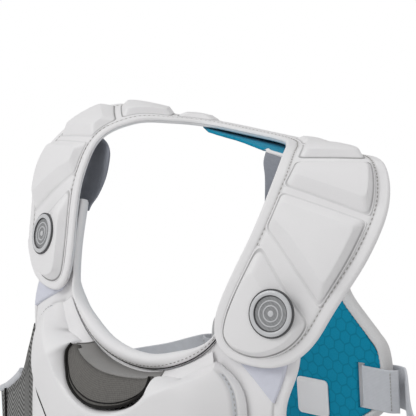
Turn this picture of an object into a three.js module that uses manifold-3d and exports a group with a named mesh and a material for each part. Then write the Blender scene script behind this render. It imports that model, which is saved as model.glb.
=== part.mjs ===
// Lacrosse goalie chest pad: a padded shoulder yoke, a chest front and a short strapped back panel.
// Millimetres, +Z up. The front faces -Y and the wearer's left side is at +X.
// The origin lies midway between the shoulders, at the height where the yoke rests on them.
import * as THREE from 'three';
import Module from 'manifold-3d';

// Driving dimensions
const GAP = 0.5;
const YOKE_THICK = 5.5;
const YOKE_CROWN = 1;
const BADGE_RADIUS = 18.5;
const BADGE_THICK = 3;
const BADGE_SEAT = 0.7;
const LINING_THICK = 2.5;
const STRAP_THICK = 2;
const CHEST_THICK = 10;
// The chest thins to this share of its thickness at its edges, over this share of its outline.
const CHEST_TAPER = { edge: 0.6, length: 0.04 };
const COLLAR_WIDE = 6.2;
const COLLAR_DEEP = 7.5;
const COLLAR_DEEP_AT_TAB = 3.4;
const COLLAR_SINK = 1.2;
const SHIELD_RIM = 4.4;
const SHIELD_SEAT = 1.4;
const BLOCK_SEAT = 1;
const PIPING_RADIUS = 1.6;
const PATCH_THICK = 2;
const BAND_THICK = 2;
const BACK_THICK = 8;
const BINDING_HALF = 3.2;
const BINDING_DEEP = 6.4;
const SIDE_STRAP_WIDE = 38;
const SLOT_TALL = 42;
const SLOT_WIDE = 9;

// The yoke's inner and outer edge on the wearer's left, from the nape to the front tip.
// Column names: i = inner edge, o = outer edge.
const YOKE_STATIONS = [
  { ix: 0, iy: 48, iz: 11, ox: 0, oy: 92, oz: 0 },
  { ix: 45, iy: 46, iz: 11, ox: 60, oy: 88, oz: 1 },
  { ix: 66, iy: 27, iz: 13.5, ox: 106, oy: 71, oz: 4 },
  { ix: 86, iy: 0, iz: 14, ox: 158, oy: 38, oz: 11 },
  { ix: 102, iy: -29, iz: 1, ox: 187, oy: 5, oz: -9 },
  { ix: 103, iy: -51, iz: -32, ox: 194, oy: -26, oz: -39 },
  { ix: 90, iy: -74, iz: -88, ox: 178, oy: -51, oz: -88 },
  { ix: 84, iy: -86, iz: -131, ox: 164, oy: -68, oz: -131 },
];
const TIP = YOKE_STATIONS.length - 1;
// The tip is a rounded end: from this station on, the band narrows along a superellipse.
const TIP_START = 6.1;
const TIP_POWER = 2.6;
const TIP_LAST = 0.42;
// The band crowns away from a line across the body below the shoulders.
const BODY_AXIS = { y: 30, z: -70 };

// Raised blocks: corners in yoke stations (k) and across the band (t, -1 inner to 1 outer).
const BLOCKS = [
  { name: 'back', rise: 4, bevel: 4.5, corners: [[1.02, -0.46], [1.92, -0.52], [1.92, 0.5], [1.02, 0.42]] },
  { name: 'nape', rise: 5, bevel: 6, corners: [[2.1, -0.54], [3.2, -0.64], [2.92, 0.62], [2.05, 0.52]] },
  { name: 'shoulder', rise: 7, bevel: 8, corners: [[3.4, -0.67], [4.08, -0.74], [4.3, 0.72], [3.08, 0.68]] },
  { name: 'mid', rise: 7.5, bevel: 8, corners: [[4.28, -0.74], [4.97, -0.75], [5.78, 0.72], [4.46, 0.72]] },
  {
    name: 'front',
    rise: 7.5,
    bevel: 8,
    corners: [
      [5.24, -0.75], [6.3, -0.75], [6.6, -0.7], [6.78, -0.44], [6.83, -0.1],
      [6.8, 0.2], [6.64, 0.5], [6.4, 0.67], [6.1, 0.7],
    ],
  },
];
const BADGE_BLOCK = BLOCKS.at(-1);
const BADGE_AT = { k: 6.06, t: 0.02 };

// A badge's section from its middle's back to its middle's front: shares of its radius and thickness.
const BADGE_PROFILE = [[0, 0], [1, 0], [1, 0.5], [0.92, 1], [0.8, 1], [0.74, 0.6], [0, 0.6]];

// The chest's front face: depth at each height on the midline.
const CHEST_PROFILE = [
  { z: 10, y: -18 }, { z: -20, y: -34 }, { z: -35, y: -42.5 }, { z: -60, y: -54 }, { z: -90, y: -65.5 },
  { z: -112, y: -71.5 }, { z: -133, y: -77 }, { z: -157, y: -87 }, { z: -190, y: -95 }, { z: -215, y: -99 },
  { z: -260, y: -103 }, { z: -330, y: -104 }, { z: -430, y: -97 },
];
// Sideways the face falls back with a slope, then curls round the ribs below the tabs.
const WRAP = { from: 88, slope: 0.26, curlFrom: 110, curl: 0.006, curlTop: -140, curlFull: -200 };

// Half outlines in the chest's front plane, from the tab's top to the midline, as [x, z].
const NECK_LINE = [
  [105, -54], [101, -69], [96, -90], [92, -107], [85, -125],
  [72, -140], [52, -152.5], [28, -161], [0, -164],
];
const NECK_CENTRE_Z = -60;
// The collar roll flattens between these heights, where it runs up under the yoke's arms.
const COLLAR_TAPER = { low: -135, high: -112 };
const CHEST_EDGE = [
  [146, -58], [151, -95], [155, -128], [153, -165], [158, -225],
  [158, -300], [142, -364], [90, -402], [0, -415],
];
// The chest shield from a lobe's tip to the midline. Its inner edge round the pocket, its ridge and its outer
// edge are given as x, z and height off the chest.
const SHIELD_ROWS = [
  { inner: [91, -138, 5], ridge: [94, -138.6, 7.5], outer: [97, -139.5, SHIELD_RIM] },
  { inner: [84, -144.5, 7.5], ridge: [95, -145, 11.5], outer: [107.5, -144.2, SHIELD_RIM] },
  { inner: [76.5, -151, 9], ridge: [91, -151, 18.5], outer: [115.5, -149.5, SHIELD_RIM] },
  { inner: [69, -156.3, 11], ridge: [82.5, -157, 25.5], outer: [122, -157, SHIELD_RIM] },
  { inner: [57.5, -158.8, 17], ridge: [74, -163, 32], outer: [127, -173, SHIELD_RIM] },
  { inner: [50.5, -160.8, 21.5], ridge: [62.5, -170.5, 36.5], outer: [130, -212, SHIELD_RIM] },
  { inner: [51.5, -168.5, 24.8], ridge: [57.5, -174.5, 36.6], outer: [120, -226, SHIELD_RIM] },
  { inner: [48.3, -175.5, 26.8], ridge: [52, -178.8, 36.8], outer: [107, -234.5, SHIELD_RIM] },
  { inner: [42.5, -181.6, 29.5], ridge: [45, -184, 37.3], outer: [90, -247, SHIELD_RIM] },
  { inner: [34.6, -187.2, 33.5], ridge: [35, -190, 38], outer: [66, -267, SHIELD_RIM] },
  { inner: [23.7, -191.6, 36.6], ridge: [21, -195, 39.5], outer: [36, -284, SHIELD_RIM] },
  { inner: [0, -195.6, 39], ridge: [0, -199, 40], outer: [0, -291, SHIELD_RIM] },
];
const SHIELD_RIDGE_AT = 0.3;
// The strip beside each lobe: its run in shares of the shield's outline, and how far it lies inside the rim.
const STRIP = { from: 0.05, length: 0.22, near: 5.6, far: 8.6, thick: 1.2 };
// The pocket leans outward: its edges as x, z and height off the chest.
const POCKET_TOP = [
  [45, -161.3, 19.2], [40.3, -163.6, 19.8], [28.2, -166, 24], [14.5, -167.6, 27], [0, -168.2, 28],
];
const POCKET_BOTTOM = [
  [48, -160.6, 21.7], [49.6, -166.2, 24.3], [46.8, -173.1, 26.2], [41, -179.2, 28.8], [33.5, -184.6, 32.6],
  [23.2, -189, 35.9], [12, -191.8, 37.8], [0, -193, 38.4],
];
// The satin band is the pocket's top ledge: from the collar's lower line out to the pocket's edge.
const BAND_TOP = [[43, -160], [22, -165], [0, -167]];
// Loop patches lie under the arms' ends; past the tip their inner edge runs out along the shield's lobe.
const PATCH = {
  from: 5.5, to: 7.5, inner: -0.55, outer: 0.78, tipFrom: 6.7, tipInner: 0.62, thinFrom: 6.8, thinTo: 7.1,
};

// Back panel in its own plane: midline and half width at each height below its neck.
const BACK_ROWS = [
  { b: 51, mid: 8, half: 19 }, { b: 0, mid: 8, half: 19 }, { b: -18, mid: 7, half: 20 },
  { b: -40, mid: 6, half: 26 }, { b: -62, mid: 4, half: 36 }, { b: -85, mid: 3, half: 48 },
  { b: -104, mid: 2, half: 60 }, { b: -121, mid: 4, half: 76 }, { b: -135, mid: 6, half: 90 },
  { b: -146, mid: 7.5, half: 99 }, { b: -184, mid: 13, half: 101 }, { b: -196, mid: 15, half: 94 },
  { b: -208, mid: 17, half: 78 }, { b: -218, mid: 18.5, half: 56 }, { b: -225, mid: 19.5, half: 32 },
];
const BACK_NECK_Z = -50;
const BACK_LEAN = { angle: THREE.MathUtils.degToRad(8.5), from: -10, full: -90 };
const BACK_NECK_B = -18;
const BACK_CENTRE_B = -110;
const BACK_SIDE_B = -146;
const LINING_TOP_B = 22;
const BACK_PROFILE = [
  { z: 4, y: 92.6 }, { z: -12, y: 93.4 }, { z: -30, y: 102 }, { z: -60, y: 110 },
  { z: -110, y: 114 }, { z: -190, y: 110 }, { z: -280, y: 104 },
];
const SLOT = { a: 80, b: -179 };
const BACK_PATCH_THICK = 1;
const BACK_PATCH = { a: 23, b: -198, wide: 37, tall: 34, round: 5 };

// Side wings in plan, from the chest's edge outwards, with their top and bottom heights.
const WING_ROWS = [
  { x: 159.6, y: -69, top: -182, bottom: -340 },
  { x: 175, y: -67.5, top: -232, bottom: -338 },
  { x: 204, y: -63, top: -256, bottom: -334 },
  { x: 225, y: -57, top: -271, bottom: -326 },
];
const WING_THICK = 4;
const WING_PIPING_AT = 0.78;

// Side straps: each loops through the back panel's slot, then runs round the ribs to the wing.
// Loop rows are in the panel's plane: a outwards, d behind the panel's inner face.
const STRAP_LOOP = [
  { a: 120, d: -1 }, { a: 113, d: -5.4 }, { a: 102, d: -5.4 }, { a: 90, d: -5 },
  { a: 84.8, d: -4.8 }, { a: 82.2, d: -2.6 }, { a: 81.8, d: 3 }, { a: 82.2, d: 8.4 },
  { a: 85.5, d: 10.2 }, { a: 93, d: 10.4 }, { a: 104, d: 11 }, { a: 115, d: 10.4 }, { a: 124, d: 3.4 },
];
// The wearer's right strap hangs lower, because the back panel leans.
const STRAP_RUN = [
  { x: 151, y: 96.5, left: -234, right: -264 }, { x: 175, y: 78, left: -246, right: -271 },
  { x: 204, y: 44, left: -262, right: -278 }, { x: 219, y: 6, left: -274, right: -282 },
  { x: 225, y: -30, left: -284, right: -287 }, { x: 230, y: -52, left: -294, right: -294 },
];

// Inner straps: inner and outer edge from under the yoke to the back of the chest tab.
const INNER_STRAP_ROWS = {
  left: [
    { ix: 45, iy: 26, iz: -0.5, ox: 74, oy: 13.5, oz: 1.5 },
    { ix: 60, iy: 7, iz: -2, ox: 89, oy: -3, oz: 0 },
    { ix: 78, iy: -11, iz: -7, ox: 107, oy: -14, oz: -9 },
    { ix: 90, iy: -24, iz: -20, ox: 121, oy: -17, oz: -26 },
    { ix: 99, iy: -34, iz: -48, ox: 130, oy: -26, oz: -50 },
    { ix: 105, iy: -40.5, iz: -66, ox: 136, oy: -33.5, oz: -68 },
  ],
  right: [
    { ix: 101, iy: -18, iz: -4, ox: 140, oy: -2, oz: -9 },
    { ix: 95, iy: -24, iz: -11, ox: 137, oy: -10, oz: -17 },
    { ix: 92, iy: -27, iz: -22, ox: 136, oy: -14, oz: -27 },
    { ix: 94, iy: -29, iz: -36, ox: 137, oy: -18, oz: -39 },
    { ix: 99, iy: -34, iz: -50, ox: 138, oy: -24, oz: -52 },
    { ix: 105, iy: -40.5, iz: -66, ox: 139, oy: -32.5, oz: -68 },
  ],
};

// Teal lining under the yoke's back: its free inner edge, and where on the yoke its outer edge is sewn.
const LINING_ROWS = [
  { ix: -41, iy: 44.5, iz: 4.3, k: -1.35, t: 0.1 },
  { ix: -23.5, iy: 41, iz: 4.5, k: -0.5, t: 0.7 },
  { ix: 5, iy: 36, iz: 5, k: 0.3, t: 0.8 },
  { ix: 26, iy: 31.5, iz: 4.5, k: 1.5, t: 0.6 },
  { ix: 43.6, iy: 27, iz: 4, k: 3, t: -0.5 },
].map((row, i, rows) => ({ ...row, s: i / (rows.length - 1) }));

const SIDES = [{ name: 'left', sign: 1 }, { name: 'right', sign: -1 }];
const COLOURS = {
  white: 0xe4e4e2, teal: 0x007391, dark: 0x5a5d64, pale: 0xb4b6bc, loop: 0xcdd1da, pocket: 0x58564f,
  satin: 0x7a7875, black: 0x2b2a29, herringbone: 0x7c7d80, binding: 0xc3c2c1, badge: 0x4e4f52,
};
const MATERIALS = Object.fromEntries(Object.entries(COLOURS).map(([name, color]) => (
  [name, new THREE.MeshStandardMaterial({ color, roughness: 0.75, metalness: 0 })]
)));

const wasm = await Module();
wasm.setup();

// Tables and curves
function lookUp(rows, key, value, at) {
  const sorted = [...rows].sort((p, q) => p[key] - q[key]);
  const last = sorted.length - 1;
  let i = sorted.findIndex((row) => row[key] > at) - 1;
  if (i < 0) i = at < sorted[0][key] ? 0 : last - 1;
  const f = (at - sorted[i][key]) / (sorted[i + 1][key] - sorted[i][key]);
  return sorted[i][value] + f * (sorted[i + 1][value] - sorted[i][value]);
}

function smooth(from, to, at) {
  return THREE.MathUtils.smoothstep(at, Math.min(from, to), Math.max(from, to));
}

// A half outline mirrored into a whole one, as a curve read from 0 (left, +X) to 1 (right, -X).
function mirroredCurve(half) {
  const points = half.map(([x, z, height = 0]) => new THREE.Vector3(x, height, z));
  const other = half.slice(0, -1).reverse().map(([x, z, height = 0]) => new THREE.Vector3(-x, height, z));
  return new THREE.CatmullRomCurve3([...points, ...other]);
}

function edgeCurve(rows, prefix, sign = 1) {
  const [x, y, z] = ['x', 'y', 'z'].map((axis) => prefix + axis);
  return new THREE.CatmullRomCurve3(rows.map((row) => new THREE.Vector3(sign * row[x], row[y], row[z])));
}

// A point between two curves, both read from 0 to 1; v runs from 0 to 1 across.
function between(first, second, u, v) {
  const inside = THREE.MathUtils.clamp(u, 0, 1);
  return first.getPoint(inside).lerp(second.getPoint(inside), v);
}

function ruled(first, second) {
  return (u, v) => between(first, second, u, v);
}

function normalAt(surface, u, v, step = 1e-3) {
  const du = surface(u + step, v).sub(surface(u - step, v));
  const dv = surface(u, v + step).sub(surface(u, v - step));
  return du.cross(dv).normalize();
}

function raise(surface, u, v, height) {
  return surface(u, v).addScaledVector(normalAt(surface, u, v), height);
}

// Solids
function solid(name, points, triangles, material) {
  const positions = new Float32Array(points.flatMap((p) => [p.x, p.y, p.z]));
  let volume = 0;
  for (const [a, b, c] of triangles) {
    volume += points[a].dot(new THREE.Vector3().crossVectors(points[b], points[c]));
  }
  const faces = volume < 0 ? triangles.map(([a, b, c]) => [a, c, b]) : triangles;
  const geometry = new THREE.BufferGeometry();
  geometry.setAttribute('position', new THREE.BufferAttribute(positions, 3));
  geometry.setIndex(faces.flat());
  const mesh = new THREE.Mesh(geometry, material);
  mesh.name = name;
  return mesh;
}

function joinRings(rings, closed, triangles) {
  for (let r = 0; r + 1 < rings.length; r += 1) {
    const count = rings[r].length;
    for (let i = 0; i < (closed ? count : count - 1); i += 1) {
      const j = (i + 1) % count;
      triangles.push([rings[r][i], rings[r][j], rings[r + 1][j]]);
      triangles.push([rings[r][i], rings[r + 1][j], rings[r + 1][i]]);
    }
  }
}

// Closes a run of flat rings, each one's first half its front and its second half its back.
function capEnds(rings, triangles) {
  for (const [ring, turn] of [[rings[0], 1], [rings.at(-1), -1]]) {
    const last = ring.length - 1;
    for (let i = 0; i + 1 < ring.length / 2; i += 1) {
      const quad = [ring[i], ring[last - i], ring[last - i - 1], ring[i + 1]];
      const [a, b, c, d] = turn > 0 ? quad : [...quad].reverse();
      triangles.push([a, b, c], [a, c, d]);
    }
  }
}

// A closed slab on a surface: a grid at the low height and one at the high height, joined at the rim.
// low and high are functions of (u, v); u and v run over the grid as given.
function slab(name, material, surface, us, vs, low, high) {
  const points = [];
  const triangles = [];
  const rings = us.map((u) => {
    const ring = [];
    for (const v of vs(u)) ring.push(points.push(raise(surface, u, v, high(u, v))) - 1);
    for (const v of [...vs(u)].reverse()) ring.push(points.push(raise(surface, u, v, low(u, v))) - 1);
    return ring;
  });
  joinRings(rings, true, triangles);
  capEnds(rings, triangles);
  return solid(name, points, triangles, material);
}

function spread(from, to, count) {
  return Array.from({ length: count + 1 }, (_, i) => from + ((to - from) * i) / count);
}

// A pad on a surface: the outline's foot, a bevelled rim and a top, closed underneath.
// corners are in the surface's own coordinates; scale gives their size in millimetres.
function pad(name, material, surface, corners, scale, perEdge, steps, floor) {
  const flat = corners.map(([u, v]) => new THREE.Vector2(u * scale.u, v * scale.v));
  const middle = flat.reduce((sum, p) => sum.add(p), new THREE.Vector2()).divideScalar(flat.length);
  const area = flat.reduce((sum, p, i) => sum + p.cross(flat[(i + 1) % flat.length]), 0);
  const turn = Math.sign(area);
  const inset = (distance) => flat.map((p, i) => {
    const before = flat[(i + flat.length - 1) % flat.length];
    const after = flat[(i + 1) % flat.length];
    const n1 = p.clone().sub(before).normalize().rotateAround(new THREE.Vector2(), turn * Math.PI / 2);
    const n2 = after.clone().sub(p).normalize().rotateAround(new THREE.Vector2(), turn * Math.PI / 2);
    return p.clone().addScaledVector(n1.clone().add(n2), distance / (1 + n1.dot(n2)));
  });
  const points = [];
  const ringAt = (outline, shrink, height) => {
    const ring = [];
    outline.forEach((p, i) => {
      const next = outline[(i + 1) % outline.length];
      for (let j = 0; j < perEdge; j += 1) {
        const q = p.clone().lerp(next, j / perEdge).lerp(middle, shrink);
        ring.push(points.push(raise(surface, q.x / scale.u, q.y / scale.v, height)) - 1);
      }
    });
    return ring;
  };
  const tip = (height) => points.push(raise(surface, middle.x / scale.u, middle.y / scale.v, height)) - 1;
  const last = steps.at(-1);
  const rings = [
    ringAt(flat, 0.5, floor),
    ...steps.map((step) => ringAt(inset(step.inset), 0, step.height)),
    ringAt(inset(last.inset), 0.5, last.height),
  ];
  const triangles = [];
  joinRings(rings, true, triangles);
  for (const [ring, height, flip] of [[rings[0], floor, true], [rings.at(-1), last.height, false]]) {
    const centre = tip(height);
    ring.forEach((p, i) => {
      const q = ring[(i + 1) % ring.length];
      triangles.push(flip ? [centre, q, p] : [p, q, centre]);
    });
  }
  return solid(name, points, triangles, material);
}

// A tube of elliptical section; frame(u) gives its centre and two half axes.
function tube(name, material, frame, us, sides, closed = false) {
  const points = [];
  const rings = us.map((u) => {
    const { centre, wide, deep } = frame(u);
    return spread(0, 2 * Math.PI, sides).slice(0, sides).map((angle) => {
      const p = centre.clone().addScaledVector(wide, Math.cos(angle)).addScaledVector(deep, Math.sin(angle));
      return points.push(p) - 1;
    });
  });
  const triangles = [];
  joinRings(closed ? [...rings, rings[0]] : rings, true, triangles);
  if (!closed) {
    for (const [ring, turn] of [[rings[0], 1], [rings.at(-1), -1]]) {
      for (let i = 1; i + 1 < ring.length; i += 1) {
        triangles.push(turn > 0 ? [ring[0], ring[i + 1], ring[i]] : [ring[0], ring[i], ring[i + 1]]);
      }
    }
  }
  return solid(name, points, triangles, material);
}

function cut(mesh, tool) {
  const toManifold = (geometry) => new wasm.Manifold(new wasm.Mesh({
    numProp: 3,
    vertProperties: geometry.attributes.position.array,
    triVerts: new Uint32Array(geometry.index.array),
  }));
  const result = toManifold(mesh.geometry).subtract(toManifold(tool.geometry)).getMesh();
  const geometry = new THREE.BufferGeometry();
  geometry.setAttribute('position', new THREE.BufferAttribute(result.vertProperties, 3));
  geometry.setIndex([...result.triVerts]);
  mesh.geometry = geometry;
  return mesh;
}

const flatHeight = (height) => () => height;

// The yoke's top face: k is the station, negative on the wearer's right; t runs from -1 to 1 across.
const mirroredStations = YOKE_STATIONS.slice(1).reverse().map((r) => ({ ...r, ix: -r.ix, ox: -r.ox }));
const yokeRows = [...mirroredStations, ...YOKE_STATIONS];
const yokeInner = edgeCurve(yokeRows, 'i');
const yokeOuter = edgeCurve(yokeRows, 'o');
function yokeFace(k, t) {
  const u = (k + TIP) / (2 * TIP);
  const inside = THREE.MathUtils.clamp(u, 0, 1);
  const across = (t + 1) / 2;
  const p = yokeInner.getPoint(inside).lerp(yokeOuter.getPoint(inside), across);
  if (u !== inside) {
    const back = u > 1 ? 1 - 1e-3 : 1e-3;
    const before = yokeInner.getPoint(back).lerp(yokeOuter.getPoint(back), across);
    p.addScaledVector(p.clone().sub(before), Math.abs(u - inside) / 1e-3);
  }
  const outward = p.clone().sub(new THREE.Vector3(p.x, BODY_AXIS.y, BODY_AXIS.z)).normalize();
  return p.addScaledVector(outward, YOKE_CROWN * (1 - Math.min(t * t, 1)));
}
// The band's half width is full up to the tip's start and narrows beyond it.
function tipNarrowing(k) {
  const past = THREE.MathUtils.clamp((Math.abs(k) - TIP_START) / (TIP - TIP_START), 0, 1);
  return (1 - (past * (1 - TIP_LAST ** TIP_POWER) ** (1 / TIP_POWER)) ** TIP_POWER) ** (1 / TIP_POWER);
}

function makeYoke() {
  const along = [
    ...spread(-TIP, -6, 5), ...spread(-6, -3, 11).slice(1), ...spread(-3, 3, 14).slice(1),
    ...spread(3, 6, 11).slice(1), ...spread(6, TIP, 5).slice(1),
  ];
  const across = (k) => spread(-1, 1, 6).map((t) => t * tipNarrowing(k));
  const pieces = [
    slab('yoke_base', MATERIALS.white, yokeFace, along, across, flatHeight(-YOKE_THICK), flatHeight(0)),
  ];
  for (const { name: side, sign } of SIDES) {
    for (const block of BLOCKS) {
      const corners = block.corners.map(([k, t]) => [sign * k, t]);
      const k = corners.reduce((sum, c) => sum + c[0], 0) / corners.length;
      const scale = {
        u: yokeFace(k + 0.1, 0).distanceTo(yokeFace(k - 0.1, 0)) / 0.2,
        v: yokeFace(k, 0.5).distanceTo(yokeFace(k, -0.5)),
      };
      const steps = [{ inset: 0, height: BLOCK_SEAT }, { inset: block.bevel, height: block.rise }];
      pieces.push(pad(
        `yoke_block_${block.name}_${side}`, MATERIALS.white, yokeFace, corners, scale,
        block.corners.length > 4 ? 2 : 5, steps, BLOCK_SEAT,
      ));
    }
    pieces.push(makeBadge(side, sign));
  }
  return pieces;
}

function makeBadge(side, sign) {
  const centre = raise(yokeFace, sign * BADGE_AT.k, BADGE_AT.t, BADGE_BLOCK.rise + BADGE_SEAT);
  const out = normalAt(yokeFace, sign * BADGE_AT.k, BADGE_AT.t);
  const profile = BADGE_PROFILE.map(([r, h]) => new THREE.Vector2(r * BADGE_RADIUS, h * BADGE_THICK));
  const geometry = new THREE.LatheGeometry(profile, 20);
  const mesh = new THREE.Mesh(geometry, MATERIALS.badge);
  mesh.name = `badge_${side}`;
  mesh.position.copy(centre);
  mesh.quaternion.setFromUnitVectors(new THREE.Vector3(0, 1, 0), out);
  return mesh;
}

function makeYokeLining() {
  const free = edgeCurve(LINING_ROWS, 'i');
  const face = (s, v) => {
    const inside = THREE.MathUtils.clamp(s, 0, 1);
    const k = lookUp(LINING_ROWS, 's', 'k', inside);
    const t = lookUp(LINING_ROWS, 's', 't', inside);
    return free.getPoint(inside).lerp(raise(yokeFace, k, t, -YOKE_THICK - GAP), v);
  };
  const across = () => spread(0, 1, 5);
  return slab(
    'yoke_lining', MATERIALS.teal, face, spread(0, 1, 20), across, flatHeight(-LINING_THICK), flatHeight(0),
  );
}

function makeInnerStrap(side, sign) {
  const rows = INNER_STRAP_ROWS[side];
  const face = ruled(edgeCurve(rows, 'i', sign), edgeCurve(rows, 'o', sign));
  const across = () => spread(0, 1, 2);
  return slab(
    `inner_strap_${side}`, MATERIALS.dark, face, spread(0.002, 0.998, 14), across,
    flatHeight(-STRAP_THICK / 2), flatHeight(STRAP_THICK / 2),
  );
}

// The chest's front face at a place in its front plane.
function chestPoint(x, z) {
  const side = Math.abs(x);
  const curl = WRAP.curl * (1 - smooth(WRAP.curlFull, WRAP.curlTop, z));
  const wrap = WRAP.slope * Math.max(0, side - WRAP.from) + curl * Math.max(0, side - WRAP.curlFrom) ** 2;
  return new THREE.Vector3(x, lookUp(CHEST_PROFILE, 'z', 'y', z) + wrap, z);
}
// A strip of places between two mirrored outlines: x and z on the chest, and y the height off it.
function chestStrip(inner, outer) {
  const first = mirroredCurve(inner);
  const second = mirroredCurve(outer);
  return (u, v) => between(first, second, u, v);
}
const faceUnder = (place) => (u, v) => {
  const p = place(u, v);
  return chestPoint(p.x, p.z);
};
const chestNormal = (x, z) => {
  const n = normalAt(chestPoint, x, z, 0.5);
  return n.y > 0 ? n.negate() : n;
};

function makeChest() {
  const body = faceUnder(chestStrip(NECK_LINE, CHEST_EDGE));
  const toFront = normalAt(body, 0.5, 0.5).y < 0 ? 1 : -1;
  const thin = (u, v) => (1 - (2 * v - 1) ** 8) * smooth(0, CHEST_TAPER.length, Math.min(u, 1 - u));
  const share = (u, v) => THREE.MathUtils.lerp(CHEST_TAPER.edge, 1, Math.sqrt(thin(u, v)));
  const pieces = [];
  pieces.push(slab(
    'chest_body', MATERIALS.white, body, spread(0, 1, 32), () => spread(0, 1, 6),
    (u, v) => -toFront * CHEST_THICK * share(u, v), flatHeight(0),
  ));
  const lines = (edge) => SHIELD_ROWS.map((row) => row[edge]);
  const rise = chestStrip(lines('inner'), lines('ridge'));
  const fall = chestStrip(lines('ridge'), lines('outer'));
  const place = (u, v) => (v < SHIELD_RIDGE_AT
    ? rise(u, v / SHIELD_RIDGE_AT)
    : fall(u, (v - SHIELD_RIDGE_AT) / (1 - SHIELD_RIDGE_AT)));
  const shield = faceUnder(place);
  const across = () => [0, SHIELD_RIDGE_AT, 0.55, 0.8, 1];
  pieces.push(slab(
    'chest_shield', MATERIALS.white, shield, spread(0, 1, 44), across,
    flatHeight(toFront * SHIELD_SEAT), (u, v) => toFront * place(u, v).y,
  ));
  const insideRim = (u, distance) => {
    const reach = fall(u, 0).setY(0).distanceTo(fall(u, 1).setY(0));
    return 1 - ((1 - SHIELD_RIDGE_AT) * distance) / reach;
  };
  for (const { name: side, sign } of SIDES) {
    const from = sign > 0 ? STRIP.from : 1 - STRIP.from - STRIP.length;
    pieces.push(slab(
      `shield_strip_${side}`, MATERIALS.pale, shield,
      spread(from, from + STRIP.length, 12), (u) => [insideRim(u, STRIP.far), insideRim(u, STRIP.near)],
      (u, v) => toFront * (place(u, v).y + 2 * GAP),
      (u, v) => toFront * (place(u, v).y + 2 * GAP + STRIP.thick),
    ));
  }
  return pieces;
}

function makeCollar() {
  const line = mirroredCurve(NECK_LINE);
  const frame = (u) => {
    const p = line.getPoint(u);
    const along = line.getTangent(u);
    const inward = new THREE.Vector3(-along.z, 0, along.x);
    if (inward.dot(new THREE.Vector3(-p.x, 0, NECK_CENTRE_Z - p.z)) < 0) inward.negate();
    const place = p.clone().addScaledVector(inward, COLLAR_WIDE + GAP);
    const out = chestNormal(p.x, p.z);
    const wide = inward.addScaledVector(out, -inward.dot(out)).normalize();
    const centre = chestPoint(p.x, p.z).addScaledVector(wide, place.distanceTo(p));
    const flatter = smooth(COLLAR_TAPER.low, COLLAR_TAPER.high, p.z);
    const deep = THREE.MathUtils.lerp(COLLAR_DEEP, COLLAR_DEEP_AT_TAB, flatter);
    return {
      centre: centre.addScaledVector(out, -COLLAR_SINK),
      wide: wide.multiplyScalar(COLLAR_WIDE),
      deep: out.multiplyScalar(deep),
    };
  };
  return tube('collar_roll', MATERIALS.white, frame, spread(0, 1, 38), 8);
}

function makePocket() {
  const place = chestStrip(POCKET_TOP, POCKET_BOTTOM);
  const panel = faceUnder(place);
  const toFront = normalAt(panel, 0.5, 0.5).y < 0 ? 1 : -1;
  const pieces = [slab(
    'pocket_panel', MATERIALS.pocket, panel, spread(0.01, 0.99, 20), () => spread(0, 1, 4),
    flatHeight(toFront * GAP), (u, v) => toFront * place(u, v).y,
  )];
  const onFace = (curve, u, lift) => {
    const p = curve.getPoint(THREE.MathUtils.clamp(u, 0, 1));
    return chestPoint(p.x, p.z).addScaledVector(chestNormal(p.x, p.z), p.y + lift);
  };
  const bottom = mirroredCurve(POCKET_BOTTOM);
  const step = 0.01;
  const pipe = (u) => {
    const p = bottom.getPoint(u);
    const out = chestNormal(p.x, p.z);
    const along = onFace(bottom, u + step, 0).sub(onFace(bottom, u - step, 0)).normalize();
    const wide = along.clone().cross(out).normalize();
    return {
      centre: onFace(bottom, u, PIPING_RADIUS + GAP),
      wide: wide.clone().multiplyScalar(PIPING_RADIUS),
      deep: wide.cross(along).multiplyScalar(PIPING_RADIUS),
    };
  };
  pieces.push(tube('pocket_piping', MATERIALS.black, pipe, spread(0.03, 0.97, 24), 5));
  const foot = mirroredCurve(BAND_TOP);
  const edge = mirroredCurve(POCKET_TOP);
  const ledge = (u, v) => onFace(foot, u, SHIELD_SEAT).lerp(onFace(edge, u, 0), v);
  const up = normalAt(ledge, 0.5, 0.5).z > 0 ? 1 : -1;
  pieces.push(slab(
    'pocket_band', MATERIALS.satin, ledge, spread(0.04, 0.96, 14), () => spread(0.06, 0.98, 2),
    flatHeight(up * GAP), flatHeight(up * (GAP + BAND_THICK)),
  ));
  return pieces;
}

// A fastening patch fills the space between the tab and the yoke's arm, and shows below the arm's end.
function makeLoopPatch(side, sign) {
  const points = [];
  const triangles = [];
  const rings = spread(PATCH.from, PATCH.to, 10).map((k) => {
    const runOut = smooth(PATCH.tipFrom, PATCH.to, k);
    const inner = THREE.MathUtils.lerp(PATCH.inner, PATCH.tipInner, runOut);
    const front = spread(inner, PATCH.outer, 4).map((t) => raise(yokeFace, sign * k, t, -YOKE_THICK - GAP));
    const beyond = smooth(PATCH.thinFrom, PATCH.thinTo, k);
    const tops = front.map((p) => {
      const seat = chestPoint(p.x, p.z);
      const thin = seat.clone().addScaledVector(chestNormal(p.x, p.z), 2 * GAP + PATCH_THICK);
      return p.clone().lerp(thin, beyond);
    });
    const backs = tops.map((p) => chestPoint(p.x, p.z).addScaledVector(chestNormal(p.x, p.z), 2 * GAP));
    return [...tops, ...backs.reverse()].map((p) => points.push(p) - 1);
  });
  joinRings(rings, true, triangles);
  capEnds(rings, triangles);
  return solid(`loop_patch_${side}`, points, triangles, MATERIALS.loop);
}

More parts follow.
